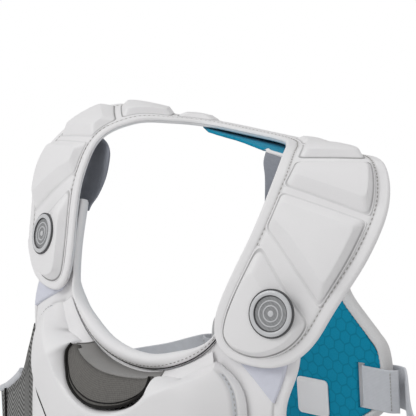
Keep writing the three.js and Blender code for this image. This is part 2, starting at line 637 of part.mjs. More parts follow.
function makeWing(side, sign) {
  const edge = (height) => {
    const points = WING_ROWS.map((row) => new THREE.Vector3(sign * row.x, row.y, row[height]));
    return new THREE.CatmullRomCurve3(points);
  };
  const face = ruled(edge('top'), edge('bottom'));
  const pieces = [slab(
    `side_wing_${side}`, MATERIALS.herringbone, face, spread(0, 1, 8), () => spread(0, 1, 4),
    flatHeight(-WING_THICK / 2), flatHeight(WING_THICK / 2),
  )];
  const frame = (v) => {
    const out = normalAt(face, WING_PIPING_AT, v);
    if (out.y > 0) out.negate();
    const p = face(WING_PIPING_AT, v);
    return {
      centre: p.clone().addScaledVector(out, WING_THICK / 2 + GAP + PIPING_RADIUS),
      wide: new THREE.Vector3(0, 0, 1).cross(out).normalize().multiplyScalar(PIPING_RADIUS),
      deep: out.clone().multiplyScalar(PIPING_RADIUS),
    };
  };
  pieces.push(tube(`wing_piping_${side}`, MATERIALS.black, frame, spread(0.02, 0.98, 8), 5));
  return pieces;
}

// The back panel's inner face: a runs sideways from its midline, b up from its neck.
function backFace(a, b) {
  const lean = BACK_LEAN.angle * (1 - smooth(BACK_LEAN.full, BACK_LEAN.from, b));
  const height = BACK_NECK_Z + a * Math.sin(lean) + b;
  return new THREE.Vector3(
    lookUp(BACK_ROWS, 'b', 'mid', b) + a * Math.cos(lean), lookUp(BACK_PROFILE, 'z', 'y', height), height,
  );
}
function backHalf(b) {
  return lookUp(BACK_ROWS, 'b', 'half', b);
}
const backOutwards = (a, b, d) => {
  const n = normalAt(backFace, a, b, 0.5);
  return backFace(a, b).addScaledVector(n.y > 0 ? n : n.negate(), d);
};
const backStrip = (u, v) => backFace((2 * v - 1) * backHalf(u), u);

function makeBack() {
  const bottom = BACK_ROWS.at(-1).b;
  const rows = [
    ...spread(BACK_ROWS[0].b, BACK_NECK_B, 5), ...spread(BACK_NECK_B, BACK_SIDE_B, 9).slice(1),
    ...spread(BACK_SIDE_B, bottom, 10).slice(1),
  ];
  const toBack = normalAt(backStrip, BACK_CENTRE_B, 0.5).y > 0 ? 1 : -1;
  const across = () => spread(0, 1, 6);
  const panel = slab(
    'back_panel', MATERIALS.white, backStrip, rows, across, flatHeight(0), flatHeight(toBack * BACK_THICK),
  );
  const low = rows.filter((b) => b < LINING_TOP_B);
  const inner = (u, v) => backFace((2 * v - 1) * (backHalf(u) - 1), u);
  const lining = slab(
    'back_lining', MATERIALS.teal, inner, low, across,
    flatHeight(-toBack * (GAP + LINING_THICK)), flatHeight(-toBack * GAP),
  );
  for (const { sign } of SIDES) {
    const box = new THREE.BoxGeometry(SLOT_WIDE, 4 * BACK_THICK, SLOT_TALL);
    const holder = backFace(sign * SLOT.a, SLOT.b);
    box.deleteAttribute('normal');
    box.deleteAttribute('uv');
    box.rotateY(-BACK_LEAN.angle);
    box.translate(holder.x, holder.y, holder.z);
    const tool = { geometry: weld(box) };
    cut(panel, tool);
    cut(lining, tool);
  }
  return [panel, lining, makeBinding(), makeBackPatch()];
}

function weld(geometry) {
  const seen = new Map();
  const position = geometry.attributes.position;
  const kept = [];
  const renamed = [];
  for (let i = 0; i < position.count; i += 1) {
    const p = [position.getX(i), position.getY(i), position.getZ(i)];
    const key = p.map((c) => Math.round(c * 1e4)).join();
    if (!seen.has(key)) {
      seen.set(key, kept.length / 3);
      kept.push(...p);
    }
    renamed.push(seen.get(key));
  }
  const welded = new THREE.BufferGeometry();
  welded.setAttribute('position', new THREE.BufferAttribute(new Float32Array(kept), 3));
  welded.setIndex([...geometry.index.array].map((i) => renamed[i]));
  return welded;
}

// The binding follows the panel's edge below the neck, round its bottom, as one open roll.
function makeBinding() {
  const half = BACK_ROWS.filter((r) => r.b <= 0).map((r) => new THREE.Vector3(r.half, 0, r.b));
  const other = [...half].reverse().map((p) => new THREE.Vector3(-p.x, 0, p.z));
  const line = new THREE.CatmullRomCurve3([...half, ...other]);
  const frame = (u) => {
    const p = line.getPoint(u);
    const along = line.getTangent(u);
    const outside = new THREE.Vector3(-along.z, 0, along.x);
    if (outside.dot(new THREE.Vector3(p.x, 0, p.z - BACK_CENTRE_B)) < 0) outside.negate();
    const middle = (BACK_THICK - LINING_THICK) / 2;
    const beyond = (reach) => backOutwards(p.x + outside.x * reach, p.z + outside.z * reach, middle);
    const centre = beyond(BINDING_HALF + 2 * GAP);
    const wide = beyond(2 * BINDING_HALF + 2 * GAP).sub(centre).normalize();
    const deep = normalAt(backFace, p.x, p.z, 0.5);
    return { centre, wide: wide.multiplyScalar(BINDING_HALF), deep: deep.multiplyScalar(BINDING_DEEP) };
  };
  return tube('back_binding', MATERIALS.binding, frame, spread(0, 1, 52), 6);
}

function makeBackPatch() {
  const { a, b, wide, tall, round } = BACK_PATCH;
  const corners = [];
  for (const [cx, cy, start] of [[1, 1, 0], [-1, 1, 1], [-1, -1, 2], [1, -1, 3]]) {
    for (const angle of spread(start, start + 1, 3)) {
      const turn = angle * Math.PI / 2;
      const middle = [a + cx * (wide / 2 - round), b + cy * (tall / 2 - round)];
      corners.push([middle[0] + round * Math.cos(turn), middle[1] + round * Math.sin(turn)]);
    }
  }
  const inside = (u, v) => backOutwards(u, v, -LINING_THICK - 2 * GAP);
  const front = normalAt(inside, a, b, 0.5).y < 0 ? 1 : -1;
  const steps = [{ inset: 0, height: 0 }, { inset: BACK_PATCH_THICK / 3, height: front * BACK_PATCH_THICK }];
  return pad('back_patch', MATERIALS.binding, inside, corners, { u: 1, v: 1 }, 1, steps, 0);
}

function makeSideStrap(side, sign) {
  const half = SIDE_STRAP_WIDE / 2;
  const edge = (up) => {
    const loop = STRAP_LOOP.map(({ a, d }) => backOutwards(sign * a, SLOT.b + up, d));
    const run = STRAP_RUN.map((row) => new THREE.Vector3(sign * row.x, row.y, row[side] + up));
    return new THREE.CatmullRomCurve3([...loop, ...run]);
  };
  const face = ruled(edge(half), edge(-half));
  return slab(
    `side_strap_${side}`, MATERIALS.pale, face, spread(0.002, 0.998, 50), () => spread(0, 1, 1),
    flatHeight(-STRAP_THICK / 2), flatHeight(STRAP_THICK / 2),
  );
}

const chestPad = new THREE.Group();
chestPad.add(...makeYoke(), makeYokeLining(), ...makeChest(), makeCollar(), ...makePocket(), ...makeBack());
for (const { name, sign } of SIDES) {
  chestPad.add(makeInnerStrap(name, sign), makeLoopPatch(name, sign), ...makeWing(name, sign));
  chestPad.add(makeSideStrap(name, sign));
}

export default chestPad;
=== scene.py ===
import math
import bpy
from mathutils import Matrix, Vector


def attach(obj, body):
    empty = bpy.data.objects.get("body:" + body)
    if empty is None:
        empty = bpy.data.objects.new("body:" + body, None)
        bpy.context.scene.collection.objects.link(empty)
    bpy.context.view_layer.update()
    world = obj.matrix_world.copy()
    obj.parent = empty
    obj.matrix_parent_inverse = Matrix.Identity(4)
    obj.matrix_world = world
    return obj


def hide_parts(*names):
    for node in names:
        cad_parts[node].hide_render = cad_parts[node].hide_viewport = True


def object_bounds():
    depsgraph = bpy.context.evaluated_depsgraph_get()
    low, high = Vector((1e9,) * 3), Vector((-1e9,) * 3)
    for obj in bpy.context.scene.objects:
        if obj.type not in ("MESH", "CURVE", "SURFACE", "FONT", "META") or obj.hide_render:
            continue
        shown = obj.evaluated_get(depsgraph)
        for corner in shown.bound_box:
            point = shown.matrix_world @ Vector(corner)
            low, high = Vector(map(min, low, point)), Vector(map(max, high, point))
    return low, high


bl_info = {
    "name": "Goalie Chest Pad",
    "version": (1, 0, 0),
    "blender": (4, 5, 0),
    "location": "View3D > Sidebar > Chest Pad",
    "description": "Dresses the packed frame of a goalie chest pad in vinyl, knit, webbing and piping",
    "category": "Object",
}

import bmesh
import bpy
import numpy as np
from mathutils import Vector, kdtree

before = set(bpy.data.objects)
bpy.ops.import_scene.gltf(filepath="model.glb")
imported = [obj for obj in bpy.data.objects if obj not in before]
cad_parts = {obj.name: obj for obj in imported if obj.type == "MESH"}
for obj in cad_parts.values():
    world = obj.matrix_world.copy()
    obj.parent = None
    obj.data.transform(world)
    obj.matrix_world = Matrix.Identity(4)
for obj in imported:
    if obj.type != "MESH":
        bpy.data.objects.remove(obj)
CAD_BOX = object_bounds()

MM = 0.001
SIDES = (("left", 1), ("right", -1))
FORWARD = np.array((0.0, -1.0, 0.0))

# Shapes shared with the solids, in millimetres: +Z up, front at -Y, the wearer's left at +X.
GAP = 0.5
YOKE_THICK = 5.5
YOKE_CROWN = 1.0
LINING_THICK = 2.5
STRAP_THICK = 2.0
CHEST_THICK = 10.0
# The collar's roll: half width and half depth at the front and at the tabs, with the heights where they
# change, and the angles round it of its stitch row and of the dark seam at its foot.
COLLAR = {
    "wide": 6.2, "wide_at_tab": 1.7, "slim_low": -156, "slim_high": -122,
    "deep": 7.5, "deep_at_tab": 3.4, "low": -135, "high": -112, "off": 0.2, "sink": 1.2, "middle_z": -60.0,
    "stitch_angle": 128, "stitch_from": 28, "stitch_lift": 0.15,
    "seam_angle": 158, "seam_from": 34, "seam_radius": 0.6,
}
# The chest's padding: its rounding in front and behind, its edge's thickness as a share, the places across
# where its seam begins, the shade beside the shield with the heights where it deepens, and its stitch row.
CHEST = {
    "front_round": 2.0, "back_round": 9.0, "edge": 0.45, "edge_drop": 0.6, "seam_across": (0.5, 0.6),
    "shade_wide": 3.0, "shade_top": 0.45, "shade_heights": (-205, -222),
    "stitch_along": (0.02, 0.98), "stitch_from": 0.995, "stitch_towards": 0.9,
    "stitch_in": 8.6, "stitch_sink": 0.6,
}
# The chest shield: its outer rim's height on a lobe and from the low row on, its underside's lift and seat,
# its ridge's place across, the curves up to the ridge and down from it, and its edge's rounding.
SHIELD = {
    "rim": 4.4, "low_rim": 1.6, "low_row": 5, "lift": 0.2, "seat": 1.4, "ridge_at": 0.3, "bulge": 0.4,
    "fall": 1.12, "round": 4.5,
}
# Marks on the shield, by their places along from a lobe's tip and across from the pocket, and how dark the
# painted shade is in its groove, slit and notch.
SHIELD_MARKS = {
    "lobe": (0.34, 0.26), "lobe_tip": (0.02, 0.05), "groove_wide": 2.6,
    "slit_along": (0.19, 0.23), "slit_across": 0.6, "slit_wide": 2.2,
    "roll_across": (0.2, 0.45), "roll": 0.88, "groove_dark": 0.25, "slit_dark": 0.9, "notch_dark": 0.6,
}
# The pocket: its padding and rounded edge, its two cords, the parts of its outline that are filled, and the
# shade at its edge.
POCKET = {
    "thick": 5.0, "crown": 0.9, "crown_from": 1, "crown_full": 14, "edge": 1.2, "round": 2.0,
    "cord": 1.2, "inner_cord": 0.55, "inner_at": 0.13, "inner_short": 10, "lift": 0.2,
    "along": (0.01, 0.99), "across": (0.03, 1), "cord_along": (0.005, 0.995), "dark": 0.5,
}
LEDGE = {"satin": 0.205, "sag": 0.8, "thick": 1.6, "seam": 0.55, "seam_lift": 0.15, "up": (0.0, -0.3, 1.0)}
PIPING_RADIUS = 1.6
BACK_THICK = 8.0
STRAP_WIDE = 38.0
STRAP_ROUND = 0.9
STRAP_EDGE = {"inner": 0.25, "side": 0.3}
STRAP_ENDS = (0.002, 0.998)
STRAP_STITCHES = {"at": (110.5, 114.5), "reach": 17, "depth": 5.4, "pitch": 3.2}

# The yoke's edges from the nape to the front tip: inner x, y, z and outer x, y, z.
YOKE_STATIONS = (
    (0, 48, 11, 0, 92, 0), (45, 46, 11, 60, 88, 1), (66, 27, 13.5, 106, 71, 4), (86, 0, 14, 158, 38, 11),
    (102, -29, 1, 187, 5, -9), (103, -51, -32, 194, -26, -39), (90, -74, -88, 178, -51, -88),
    (84, -86, -131, 164, -68, -131),
)
TIP = len(YOKE_STATIONS) - 1
TIP_START = 6.1
TIP_POWER = 2.6
TIP_LAST = 0.1
# How far short of its tip and edge the yoke's directions are read, and a place towards its middle.
YOKE_INSIDE = {"band": 0.005, "edge": 0.01, "across": 0.98, "middle": (0.97, 0.6)}
BODY_AXIS = (30.0, -70.0)
# Raised blocks: rise, steep bevel at the band's sides, long bevel at the grooves,
# and corners as (station, place across).
BLOCKS = {
    "back": (4.0, 2.4, 5.0, ((1.02, -0.46), (1.92, -0.52), (1.92, 0.5), (1.02, 0.42))),
    "nape": (6.0, 2.6, 4.5, ((2.1, -0.54), (3.2, -0.64), (2.92, 0.62), (2.05, 0.52))),
    "shoulder": (7.0, 3.0, 8.0, ((3.4, -0.67), (4.08, -0.74), (4.3, 0.72), (3.08, 0.68))),
    "mid": (7.5, 3.0, 8.0, ((4.28, -0.74), (4.97, -0.75), (5.78, 0.72), (4.46, 0.72))),
    "front": (7.5, 3.6, 8.0, (
        (5.24, -0.75), (6.3, -0.75), (6.6, -0.7), (6.78, -0.44), (6.83, -0.1),
        (6.8, 0.2), (6.64, 0.5), (6.4, 0.67), (6.1, 0.7),
    )),
}
# How dark the painted shade line at a block's foot is: at its front end, its sides and its back end.
BLOCK_FOOT_SHADE = {
    "back": (0.9, 0.6, 0.5), "nape": (1.0, 0.6, 0.9), "shoulder": (0.15, 0.7, 1.0), "mid": (0.15, 0.7, 0.15),
    "front": (0.9, 0.9, 0.15),
}
# The gutter round a block: distance inside its outline, height, and darkness of the painted shade line there.
GUTTER = (
    (-2.6, -0.3, 0), (-1.5, 0.12, 0), (-1.15, 0.16, 1), (-0.45, 0.16, 1), (-0.1, 0.3, 0.7),
    (0.15, 0.75, 0.15),
)
BEVEL = {"foot": 0.45, "foot_rise": 1.15, "shoulder": 0.6}
BEVEL_STEPS = (0, 0.15, 0.3, 0.5, 0.7, 0.85, 0.94, 1)
# From a block's bevel to its top: distance inside the bevel and drop below the top.
BLOCK_ROUND = ((0.35, 0.33), (0.8, 0.15), (1.5, 0.04), (2.6, 0))
BLOCK_TOP_STEPS = (0.8, 0.6, 0.4, 0.2, 0.02)
BLOCK_UNDER = {"share": 0.9, "height": -1.4}
# A block's corners: their radius, points on each and points along each edge, with four corners or more.
BLOCK_CORNERS = {"four": (5.0, 7, 22), "more": (9.0, 7, 6)}
BADGE = {"left": (6.03, 0.1), "right": (5.99, -0.13), "radius": 18.5, "sides": 72, "sharp": 40}
# A badge's section: radius as a share, height, and the finish of the ring that starts there.
DARK, PALE, BRUSHED = 0, 1, 2
BADGE_RIM = (
    (1.0, -1.0, DARK), (1.0, 0.5, DARK), (0.985, 1.0, DARK), (0.96, 1.1, DARK), (0.935, 0.9, PALE),
    (0.925, 1.7, PALE), (0.9, 2.1, PALE), (0.77, 2.2, PALE), (0.745, 1.9, DARK), (0.735, 1.1, DARK),
    (0.69, 0.9, BRUSHED),
)
BADGE_RINGS = (0.52, 0.32)
BADGE_RING = ((0.03, 0.9, PALE), (0.02, 1.4, PALE), (-0.02, 1.45, PALE), (-0.03, 0.9, BRUSHED))
BADGE_HUB = ((0.13, 0.9, PALE), (0.12, 1.4, PALE), (0.06, 1.6, PALE), (0.004, 1.65, PALE))
# The chest's front face: height and depth on the midline.
CHEST_PROFILE = (
    (10, -18), (-20, -34), (-35, -42.5), (-60, -54), (-90, -65.5), (-112, -71.5), (-133, -77),
    (-157, -87), (-190, -95), (-215, -99), (-260, -103), (-330, -104), (-430, -97),
)
# How the chest bends back at its sides, and the heights over which a further curl comes in.
WRAP = {
    "from": 88, "soft": 4, "slope": 0.26,
    "curl_from": 110, "curl": 0.006, "curl_top": -140, "curl_full": -200,
}
# Half outlines on the chest face as (x, z), from the wearer's left to the midline.
NECK_LINE = (
    (105, -54), (101, -69), (96, -90), (92, -107), (85, -125), (72, -140), (52, -152.5), (28, -161),
    (0, -164),
)
CHEST_EDGE = (
    (146, -58), (151, -95), (155, -128), (153, -165), (158, -225), (158, -300), (142, -364), (90, -402),
    (0, -415),
)
# The chest shield from a lobe's tip to the midline: inner edge and ridge as (x, z, height),
# and outer edge as (x, z).
SHIELD_ROWS = (
    ((91, -138, 5), (94, -138.6, 7.5), (97, -139.5)),
    ((84, -144.5, 7.5), (95, -145, 11.5), (107.5, -144.2)),
    ((76.5, -151, 9), (91, -151, 18.5), (115.5, -149.5)),
    ((69, -156.3, 11), (82.5, -157, 25.5), (122, -157)),
    ((57.5, -158.8, 17), (74, -163, 32), (127, -173)),
    ((50.5, -160.8, 21.5), (62.5, -170.5, 36.5), (130, -212)),
    ((51.5, -168.5, 24.8), (57.5, -174.5, 36.6), (120, -226)),
    ((48.3, -175.5, 26.8), (52, -178.8, 36.8), (107, -234.5)),
    ((42.5, -181.6, 29.5), (45, -184, 37.3), (90, -247)),
    ((34.6, -187.2, 33.5), (35, -190, 38), (66, -267)),
    ((23.7, -191.6, 36.6), (21, -195, 39.5), (36, -284)),
    ((0, -195.6, 39), (0, -199, 40), (0, -291)),
)
# The pocket's edges as (x, z, height).
POCKET_TOP = ((45, -161.3, 19.2), (40.3, -163.6, 19.8), (28.2, -166, 24), (14.5, -167.6, 27), (0, -168.2, 28))
POCKET_BOTTOM = (
    (48, -160.6, 21.7), (49.6, -166.2, 24.3), (46.8, -173.1, 26.2), (41, -179.2, 28.8), (33.5, -184.6, 32.6),
    (23.2, -189, 35.9), (12, -191.8, 37.8), (0, -193, 38.4),
)
# The ledge over the pocket: its foot at the collar and its front edge, as (x, z, height off the chest).
LEDGE_FOOT = (
    (86, -131, 1.5), (74, -141, 1.5), (60, -150, 1.5), (42, -158.5, 1.5), (22, -164.5, 1.5), (0, -166.5, 1.5),
)
LEDGE_EDGE = (
    (93, -140.5, 6), (82, -149.5, 8), (66, -160.5, 10.5), (51, -161.8, 16), (24, -166.6, 25), (0, -168.3, 28),
)
# A black cord that paints the shadow in the slit under the shield's lower edge: where it starts along the
# edge, and how far beyond it lies.
SLIT_SHADOW_CORD = {"from": 0.24, "beyond": 0.6, "height": 1.3, "radius": 1.1}
# The notch in each lobe's inner edge, by its places along and across the shield.
NOTCH = {"at": 3 / 22, "wide": 0.009, "deep": 0.09, "drop": 3.5}
# The strip inside each lobe's outer roll: its ends along the shield and its sides' distances from the edge.
STRIP = {
    "from": 0.05, "to": 0.27, "near": 5.6, "far": 8.6, "round": 0.8, "crown": 0.5, "sink": 1.0, "low": 1.6,
    "stitch_column": 7, "stitch_lift": 0.1,
}
# The loop patch under each arm, by stations and places across the yoke, and its thin end on the chest.
PATCH = {"from": 5.5, "to": 6.98, "inner": -0.55, "outer": 0.78, "inset": 0.86, "off_chest": 0.3}
LOOP_END = {"round": 1.2, "low": 0.2, "edge": 0.5, "rise": 1.9}
# Where the loop fabric shows on the chest below each arm: its edges as (x, z), from under the arm to the tip.
LOOP_INNER = ((97, -121), (106, -132), (113, -136.5), (132, -148.5), (144.6, -157.5))
LOOP_OUTER = ((146, -112), (148, -124), (148.3, -135), (147.6, -146), (145.4, -157.5))
# The back panel: height below the neck, midline and half width.
BACK_ROWS = (
    (44, 8, 19), (0, 8, 19), (-18, 7, 20), (-40, 6, 26), (-62, 4, 36), (-85, 3, 48), (-104, 2, 60),
    (-121, 4, 76), (-135, 6, 90), (-146, 7.5, 99), (-184, 13, 101), (-196, 15, 94), (-208, 17, 78),
    (-218, 18.5, 56), (-225, 19.5, 32),
)
BACK_NECK_Z = -50
BACK_LEAN = {"angle": math.radians(8.5), "from": -10, "full": -90}
BACK_CENTRE_B = -110
# The back panel's rows above and below one height, and its points across.
BACK_STEPS = {"turn": -18, "above": 40, "below": 140, "across": 60}
BACK_PROFILE = ((4, 92.6), (-12, 93.4), (-30, 102), (-60, 110), (-110, 114), (-190, 110), (-280, 104))
SLOT = {"a": 80, "b": -179, "wide": 9, "tall": 42}
LABEL = {"a": 23, "b": -198, "wide": 37, "tall": 34, "round": 5, "least_round": 0.6}
# The label patch's section: distance inside its outline and height.
LABEL_SECTION = (
    (0, 0.1), (0, 0.8), (0.25, 1.05), (0.8, 1.1), (2.0, 1.05), (2.4, 0.85), (2.8, 1.05), (6, 1.1), (12, 1.15),
    (16, 1.15),
)
# The binding tape: how far out its middle sits and a place beyond it, its half width and half depth,
# and its stitch rows.
TAPE = {
    "out": 2.6, "beyond": 5.0, "wide": 4.2, "deep": 6.9,
    "stitch_in": 2.4, "stitch_deep": 5.8, "stitch_lean": 0.4,
}
# The knit's share of the panel's width, the height that it reaches up to, and its two rows of box stitches.
KNIT = {"share": 0.985, "top": 22, "round": 1.5, "pitch": 3.2}
BOX_STITCHES = (((6, -150), (8, -176)), ((8, -176), (-9, -175)))
# Side wings: their lower and upper edges as (x, y, z).
WING_BOTTOM = ((159.6, -69, -340), (175, -67.5, -338), (204, -63, -334), (225, -57, -326))
WING_TOP = ((154.5, -67, -178), (164, -68, -206), (175, -67.5, -232), (204, -63, -258), (225, -57, -271))
WING_THICK = 4.0
# On a wing: its edge's thickness as a share, its fullness, its piping's place and share of the piping's
# radius, the roll on its upper edge, and the stretch of that edge that is stitched.
WING = {
    "edge": 0.15, "puff": 1.2, "puff_full": 26,
    "piping_at": 0.78, "piping_along": (0.02, 0.98), "piping": 0.65, "piping_rise": 0.6, "piping_clear": 0.8,
    "roll": 3.6, "roll_from": 0.52, "roll_up": 1.5,
    "stitches": (0.3, 0.97), "stitch_sink": 0.3,
}
# Side straps: the loop through the slot as (sideways, behind the panel), then x, y and both sides' heights.
STRAP_LOOP = (
    (120, -1), (113, -5.4), (102, -5.4), (90, -5), (84.8, -4.8), (82.2, -2.6), (81.8, 3), (82.2, 8.4),
    (85.5, 10.2), (93, 10.4), (104, 11), (115, 10.4), (124, 3.4),
)
STRAP_RUN = (
    (151, 96.5, -234, -264), (175, 78, -246, -271), (204, 44, -262, -278), (219, 6, -274, -282),
    (225, -30, -284, -287), (230, -52, -294, -294),
)
# Inner straps from under the yoke down to the chest: inner x, y, z and outer x, y, z.
INNER_STRAP = {
    "left": (
        (43.5, 27.5, 1.6, 75, 14.5, 4.2), (59, 8, -1.2, 88, -2, 1), (78, -11, -7, 107, -14, -9),
        (90, -24, -20, 121, -17, -26), (99, -34, -48, 130, -26, -50), (105, -40.5, -66, 136, -33.5, -68),
    ),
    "right": (
        (108, -21.3, -3.2, 141, -3, -8), (100, -21.4, -7.7, 139, -7, -13), (94, -24, -13.3, 137, -10, -17),
        (92.5, -26, -20, 136, -13, -25), (94, -29.5, -36, 137, -18, -39), (98.5, -34.7, -51.3, 138, -24, -52),
        (103, -38.9, -60.4, 138.6, -29, -60), (105, -40.5, -66, 139, -32.5, -68),
    ),
}
# The neck lining: its free edge, and the station and place across the yoke where its far edge is sewn.
LINING_ROWS = (
    (-41, 44.5, 4.3, -1.35, 0.1), (-23.5, 41, 4.5, -0.5, 0.7), (5, 36, 5, 0.3, 0.8),
    (26, 31.5, 4.5, 1.5, 0.6), (43.6, 27, 4, 3, -0.5),
)
# The lining's rounded rim, its ripple with the reach from the free edge and from the rim, and its bound end.
LINING = {
    "round": 1.2, "ripple": 0.5, "waves": 40.0, "ripple_to": 0.5, "ripple_in": 6,
    "hem_to": 0.62, "hem_wide": 2.0, "hem_deep": 1.6,
}
# One stitch: places along it and its girth there, as shares of its half length and of the thread's radius.
STITCH_ROWS = ((-1, 0.3), (-0.7, 0.85), (0, 1.0), (0.7, 0.85), (1.0, 0.3))
STITCH = {"sides": 6, "sink": 0.1, "dive": 1.5}
# Sewn rims: radius of the rounded edge, and the seam's distance from the edge, width, depth and the darkness
# of the painted shade in it.
RIMS = {
    "yoke": {
        "round": 2.6, "wide": 1.1, "deep": 0.6, "dark": 0.45,
        "dip": 0.25, "dip_wide": 3.5, "stitch_sink": 0.55,
    },
    "chest": {"round": 4.0, "at": 9.0, "wide": 1.0, "deep": 0.7, "dark": 0.5},
    "wing": {"round": 2.0, "at": 6.0, "wide": 1.0, "deep": 0.5, "dark": 0.5},
    "back": {"round": 3.0, "at": 9.0, "wide": 1.1, "deep": 0.6, "dark": 0.4},
}
# Points along and across each piece's grid.
GRIDS = {
    "lining": (150, 40), "inner_strap": (90, 24), "chest": (240, 110), "shield": (320, 90), "strip": (90, 12),
    "collar": (220, 28), "pocket": (120, 44), "ledge": (180, 30), "loop": (60, 24), "loop_face": (70, 30),
    "wing": (70, 90), "side_strap": (320, 26),
}
# Stations along half the yoke before its tip and in it, and points across it.
YOKE_STEPS = {"band": (170, 36), "edge": (225, 112), "across": 61}

# The camera: where it looks, from where, and how long its lens is.
VIEW = {"azimuth": 45.0, "elevation": 16.5, "distance": 1064.0, "aim": (3.6, 0.0, -48.9), "lens": 109.4}
# Softboxes: name, direction from the pad, distance and size in metres, and power.
SOFTBOXES = (
    ("key", (-0.5, -0.85, 0.72), 1.7, 1.0, 10.5),
    ("fill", (1.0, -0.25, 0.35), 1.8, 1.4, 2.4),
    ("top", (0.1, 0.35, 1.0), 1.6, 1.6, 5.8),
)
SKY_STRENGTH = 0.43
FLOOR = {"below": 0.02, "reach": 6.0}


def srgb(red, green, blue):
    """A screen colour from 0 to 255 as linear red, green and blue."""
    shares = (red / 255, green / 255, blue / 255)
    return tuple(c / 12.92 if c <= 0.04045 else ((c + 0.055) / 1.055) ** 2.4 for c in shares)


def length_prop(name, description, default):
    return bpy.props.FloatProperty(
        name=name, description=description, default=default, min=0.0, unit="LENGTH", subtype="DISTANCE",
    )


def colour_prop(name, description, *screen):
    return bpy.props.FloatVectorProperty(
        name=name, description=description, default=srgb(*screen), min=0.0, max=1.0, subtype="COLOR",
    )


class ChestPadSizes(bpy.types.PropertyGroup):
    """Sizes of the sewn and moulded detail."""
    stitch_pitch: length_prop("Stitch pitch", "Distance from one stitch to the next", 0.0042)
    stitch_length: length_prop("Stitch length", "Length of one stitch", 0.0027)
    thread: length_prop("Thread", "Radius of the sewing thread", 0.00042)
    border: length_prop("Border", "Distance of the yoke's stitch row from its edge", 0.0092)
    block_crown: length_prop("Block crown", "How far a block's middle stands above its rim", 0.0007)
    hexagon: length_prop("Hexagon", "Width of one hexagon in the knit lining", 0.0115)
    twill: length_prop("Twill", "Width of one line of the herringbone", 0.0052)
    rib: length_prop("Rib", "Width of one rib of the webbing", 0.0013)


class ChestPadColours(bpy.types.PropertyGroup):
    """Colours of the finishes."""
    vinyl: colour_prop("Vinyl", "White outer skin", 246, 245, 246)
    teal: colour_prop("Teal", "Knit lining", 0, 148, 184)
    webbing: colour_prop("Webbing", "Inner straps", 158, 162, 172)
    elastic: colour_prop("Elastic", "Side straps", 226, 228, 233)
    loop: colour_prop("Loop fabric", "Fastening patches", 231, 233, 245)
    pocket: colour_prop("Pocket", "Woven pocket panel", 118, 116, 113)
    satin: colour_prop("Satin", "Ledge over the pocket", 145, 143, 141)
    piping: colour_prop("Piping", "Black cord round the pocket and on the wings", 38, 37, 36)
    herringbone: colour_prop("Herringbone", "Side wings", 120, 120, 119)
    binding: colour_prop("Binding", "Tape round the back panel", 236, 235, 235)
    badge: colour_prop("Badge", "Dark moulded discs", 84, 84, 86)
    thread: colour_prop("Thread", "Sewing thread on the white skin", 196, 194, 190)


# Tables, lines and surfaces
def smooth(low, high, at):
    share = np.clip((np.asarray(at, float) - low) / (high - low), 0, 1)
    return share * share * (3 - 2 * share)


def look_up(table, at, column=1):
    """A table read along a smooth line through its rows, and straight on beyond its ends."""
    rows = np.array(sorted(table), float)
    x, y = rows[:, 0], rows[:, column]
    step = np.diff(x)
    slope = np.diff(y) / step
    between = (slope[:-1] * step[1:] + slope[1:] * step[:-1]) / (step[1:] + step[:-1])
    lean = np.concatenate([slope[:1], between, slope[-1:]])
    at = np.asarray(at, float)
    i = np.clip(np.searchsorted(x, at) - 1, 0, len(x) - 2)
    s = (at - x[i]) / step[i]
    f = np.clip(s, 0, 1)
    value = (
        y[i] * (1 + 2 * f) * (1 - f) ** 2 + y[i + 1] * f * f * (3 - 2 * f)
        + step[i] * (lean[i] * f * (1 - f) ** 2 - lean[i + 1] * f * f * (1 - f))
    )
    return value + (s - f) * step[i] * np.where(s > 1, lean[i + 1], lean[i])


def line(points):
    """A smooth line through points, read from 0 to 1."""
    p = np.array(points, float)
    count = len(p) - 1
    p = np.vstack([2 * p[0] - p[1], p, 2 * p[-1] - p[-2]])
    gap = np.sum(np.diff(p, axis=0) ** 2, axis=1) ** 0.25

    def at(u):
        s = np.clip(np.asarray(u, float), 0, 1) * count
        i = np.minimum(s.astype(int), count - 1)
        w = (s - i)[..., None]
        a, b, c, d = p[i], p[i + 1], p[i + 2], p[i + 3]
        g0, g1, g2 = gap[i][..., None], gap[i + 1][..., None], gap[i + 2][..., None]
        lean_b = ((b - a) / g0 - (c - a) / (g0 + g1) + (c - b) / g1) * g1
        lean_c = ((c - b) / g1 - (d - b) / (g1 + g2) + (d - c) / g2) * g1
        square = 3 * (c - b) - 2 * lean_b - lean_c
        cube = 2 * (b - c) + lean_b + lean_c
        return b + lean_b * w + square * w ** 2 + cube * w ** 3

    return at


def mirrored(half):
    """A half outline carried over to the wearer's right."""
    other = [(-row[0],) + tuple(row[1:]) for row in reversed(half[:-1])]
    return line(list(half) + other)


def ruled(first, second):
    def surface(u, v):
        share = np.asarray(v, float)[..., None]
        return first(u) * (1 - share) + second(u) * share
    return surface


def unit(vectors):
    return vectors / np.maximum(np.linalg.norm(vectors, axis=-1, keepdims=True), 1e-9)


def normal(surface, u, v, step=1e-3):
    along = surface(u + step, v) - surface(u - step, v)
    across = surface(u, v + step) - surface(u, v - step)
    return unit(np.cross(along, across))


def raised(surface, u, v, height):
    u, v = np.broadcast_arrays(np.asarray(u, float), np.asarray(v, float))
    return surface(u, v) + normal(surface, u, v) * np.asarray(height, float)[..., None]


def eased(low, high, count, pull=1.0):
    """Steps that lie closer together at both ends."""
    even = np.linspace(0, 1, count)
    close = 0.5 - 0.5 * np.cos(math.pi * even)
    return low + (high - low) * (even * (1 - pull) + close * pull)


def half_round(distance, radius):
    share = np.clip(distance / radius, 0, 1)
    return np.sqrt(np.maximum(0, 1 - (1 - share) ** 2))


def bump_at(distance, centre, width):
    return np.exp(-((distance - centre) / width) ** 2)


def rim_of(points):
    """The closed line round a grid of points."""
    return np.concatenate([points[0], points[1:-1, -1], points[-1, ::-1], points[-2:0:-1, 0]])


